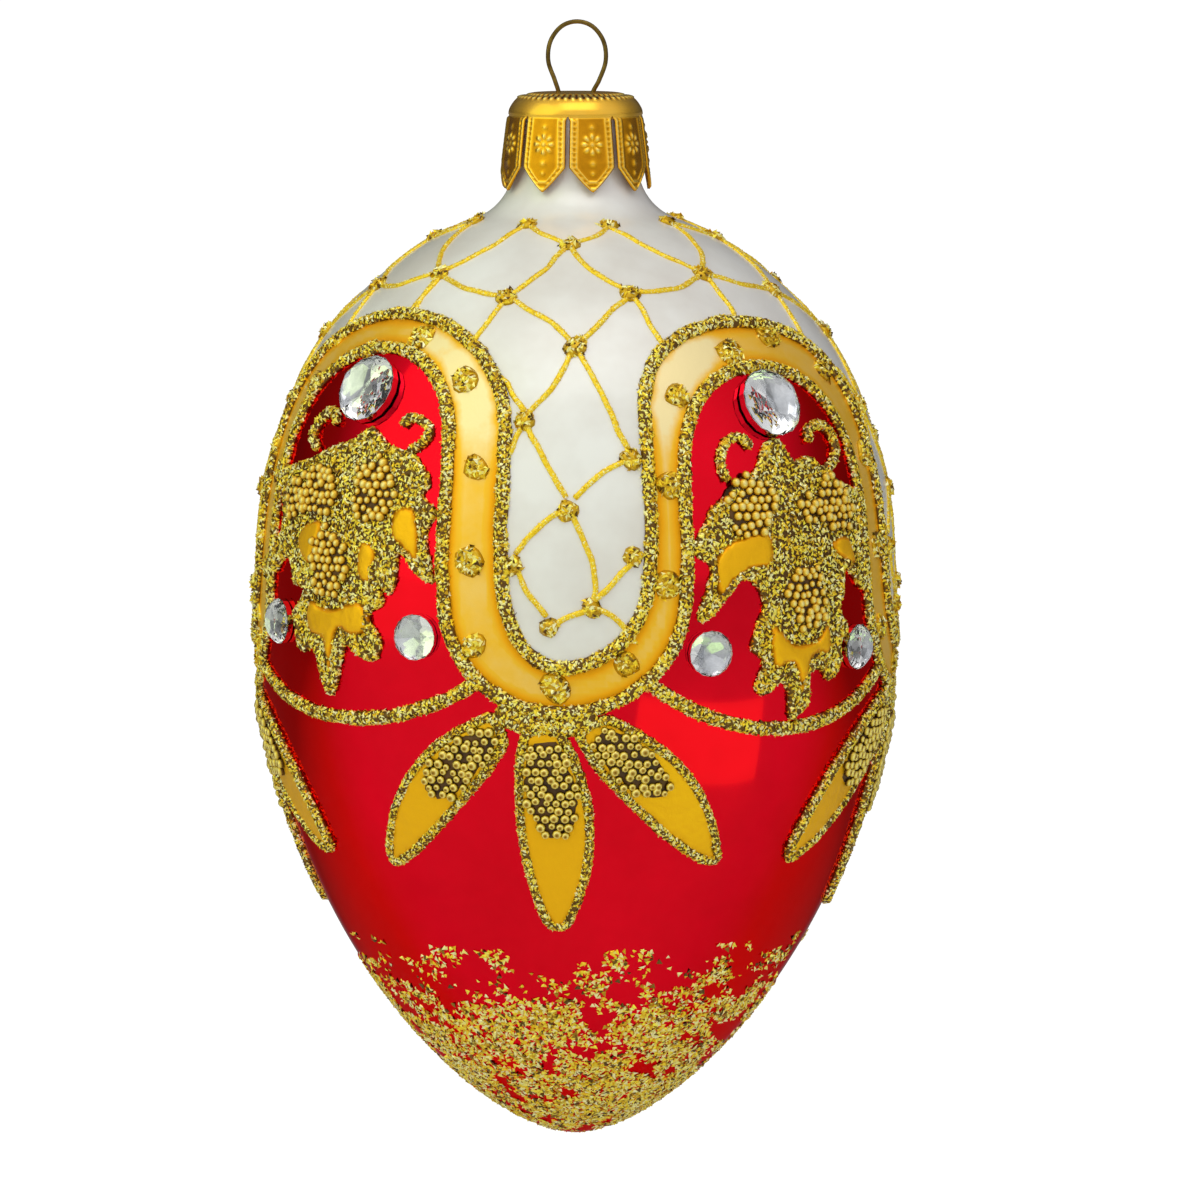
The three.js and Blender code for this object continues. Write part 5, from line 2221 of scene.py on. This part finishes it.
@dataclass
class WireHanger:
    """Bent spring wire whose loop stands out of the cap and whose legs spread inside the neck."""

    radius: float = 0.28
    sides: int = 14
    half: tuple[Place, ...] = (
        (8.2, -27.5), (6.1, -21.5), (4.3, -15.5), (2.35, -10.6), (2.05, -8.6), (2.7, -6.9), (3.5, -4.5),
        (3.2, -2.1), (1.8, -0.3),
    )
    top: Place = (0.0, 0.24)
    loop_shift: float = 0.17
    loop_z: float = -7.7

    def build(self) -> bpy.types.Object:
        """Makes the wire.

        Returns:
            The object.
        """
        line = [*self.half, self.top, *((-x, z) for x, z in reversed(self.half))]
        points = np.array([(x + (self.loop_shift if z > self.loop_z else 0), 0.0, z) for x, z in line])
        path = smooth_path(points, False, 0.3)
        mesh = bmesh.new()
        rings = []
        for i, spot in enumerate(path):
            along = Vector(path[min(i + 1, len(path) - 1)] - path[max(i - 1, 0)]).normalized()
            side = Vector((0, 1, 0))
            other = along.cross(side).normalized()
            turns = [2 * math.pi * k / self.sides for k in range(self.sides)]
            around = [self.radius * (math.cos(t) * side + math.sin(t) * other) for t in turns]
            rings.append([mesh.verts.new((Vector(spot) + out) * MM) for out in around])
        for one, other_ring in zip(rings, rings[1:]):
            for k in range(self.sides):
                j = (k + 1) % self.sides
                mesh.faces.new((one[k], one[j], other_ring[j], other_ring[k]))
        mesh.faces.new(rings[0])
        mesh.faces.new(rings[-1])
        thing = finished(mesh, "bent_wire_hanger", DULL_BRASS)
        settle(thing, Slot.WIRE, "wire_hanger")
        return thing


# Studio

@dataclass(frozen=True)
class Softbox:
    """A soft light: its direction from the egg, distance, size, power and colour."""

    name: str
    azimuth: float
    elevation: float
    distance: float
    size: tuple[float, float]
    power: float
    colour: tuple[float, float, float] = (1.0, 1.0, 1.0)


@dataclass
class Studio:
    """Pale floor, soft lights, surroundings and camera."""

    target: tuple[float, float, float] = (0.00297, 0.0, -0.0704)
    distance: float = 1.2
    elevation: float = 5.0
    frame_width: float = 0.1467
    floor_z: float = -0.165
    floor_half: float = 20.0
    aim: tuple[float, float, float] = (0.0, 0.0, -0.07)
    front_share: float = 0.5
    height_share: float = 0.35
    brightness: tuple[Place, ...] = ((0.1, 0.05), (0.45, 0.22), (0.72, 0.66), (1.0, 0.82))
    softboxes: tuple[Softbox, ...] = (
        Softbox("left_box", -61.0, 22.0, 0.8, (0.76, 1.3), 2.2, (0.7, 0.9, 0.3)),
        Softbox("right_box", 44.0, -27.0, 0.185, (0.15, 0.065), 0.024, (0.5, 0.9, 0.1)),
        Softbox("top_box", 10.0, 66.0, 0.9, (0.7, 0.5), 1.2),
    )

    def build(self) -> None:
        """Makes the studio."""
        self.camera()
        for box in self.softboxes:
            self.softbox(box)
        self.surroundings()
        self.floor()

    def camera(self) -> None:
        """Sets the camera at the photograph's viewing angle."""
        data = bpy.data.cameras.new("camera")
        data.sensor_width = 36.0
        data.lens = data.sensor_width * self.distance / self.frame_width
        data.clip_end = 100.0
        thing = bpy.data.objects.new("camera", data)
        turn = math.radians(self.elevation)
        away = Vector((0, -math.cos(turn), math.sin(turn)))
        thing.location = Vector(self.target) + self.distance * away
        thing.rotation_euler = away.to_track_quat("Z", "Y").to_euler()
        bpy.context.scene.collection.objects.link(thing)
        bpy.context.scene.camera = thing
        bpy.context.scene.view_settings.view_transform = "Standard"

    def softbox(self, box: Softbox) -> None:
        """Adds a soft light that faces the egg."""
        data = bpy.data.lights.new(box.name, "AREA")
        data.shape = "RECTANGLE"
        data.size, data.size_y = box.size
        data.energy = box.power
        data.color = box.colour
        thing = bpy.data.objects.new(box.name, data)
        azimuth, elevation = math.radians(box.azimuth), math.radians(box.elevation)
        level = math.cos(elevation)
        out = Vector((math.sin(azimuth) * level, -math.cos(azimuth) * level, math.sin(elevation)))
        thing.location = Vector(self.aim) + box.distance * out
        thing.rotation_euler = out.to_track_quat("Z", "Y").to_euler()
        bpy.context.scene.collection.objects.link(thing)

    def surroundings(self) -> None:
        """Bright surroundings in front and above, darker behind, and white where the camera sees them."""
        world = bpy.data.worlds.new("studio")
        bpy.context.scene.world = world
        world.use_nodes = True
        tree = world.node_tree
        tree.nodes.clear()
        direction = add_node(tree, "ShaderNodeTexCoord", None, {}).outputs["Generated"]
        split = add_node(tree, "ShaderNodeSeparateXYZ", None, {"Vector": direction})
        front = scaled_sum(tree, split.outputs["Y"], -self.front_share, self.front_share)
        lifted = scaled_sum(tree, split.outputs["Z"], self.height_share, front)
        grey = colour_ramp(tree, lifted, [(place, (value,) * 3) for place, value in self.brightness])
        soft = add_node(tree, "ShaderNodeBackground", None, {"Color": grey, "Strength": 1.0})
        white = add_node(tree, "ShaderNodeBackground", None, {"Color": (1, 1, 1, 1), "Strength": 1.0})
        path = add_node(tree, "ShaderNodeLightPath", None, {})
        mix = add_node(tree, "ShaderNodeMixShader", None, {"Fac": path.outputs["Is Camera Ray"]})
        tree.links.new(soft.outputs[0], mix.inputs[1])
        tree.links.new(white.outputs[0], mix.inputs[2])
        out = add_node(tree, "ShaderNodeOutputWorld", None, {})
        tree.links.new(mix.outputs[0], out.inputs["Surface"])

    def floor(self) -> None:
        """Adds the plain floor under the ornament."""
        mesh = bpy.data.meshes.new("floor")
        half = self.floor_half
        sides = ((-half, -half), (half, -half), (half, half), (-half, half))
        mesh.from_pydata([(x, y, self.floor_z) for x, y in sides], [], [(0, 1, 2, 3)])
        mesh.materials.append(PALE_FLOOR.build())
        placed(mesh)


def main() -> None:
    """Builds the ornament and its studio."""
    logging.basicConfig(level=logging.INFO, format="%(name)s %(message)s")
    builders: tuple[tuple[str, Callable[[], object]], ...] = (
        ("glass", GlassEgg().build), ("borders", Borders().build), ("net", Net().build),
        ("sprays", Sprays().build), ("leaves", Leaves().build), ("tip glitter", TipGlitter().build),
        ("crystals", Crystals().build), ("cap", CrownCap().build), ("wire", WireHanger().build),
        ("studio", Studio().build),
    )
    for name, build in builders:
        build()
        LOG.info("made the %s", name)


if __name__ == "__main__":
    main()
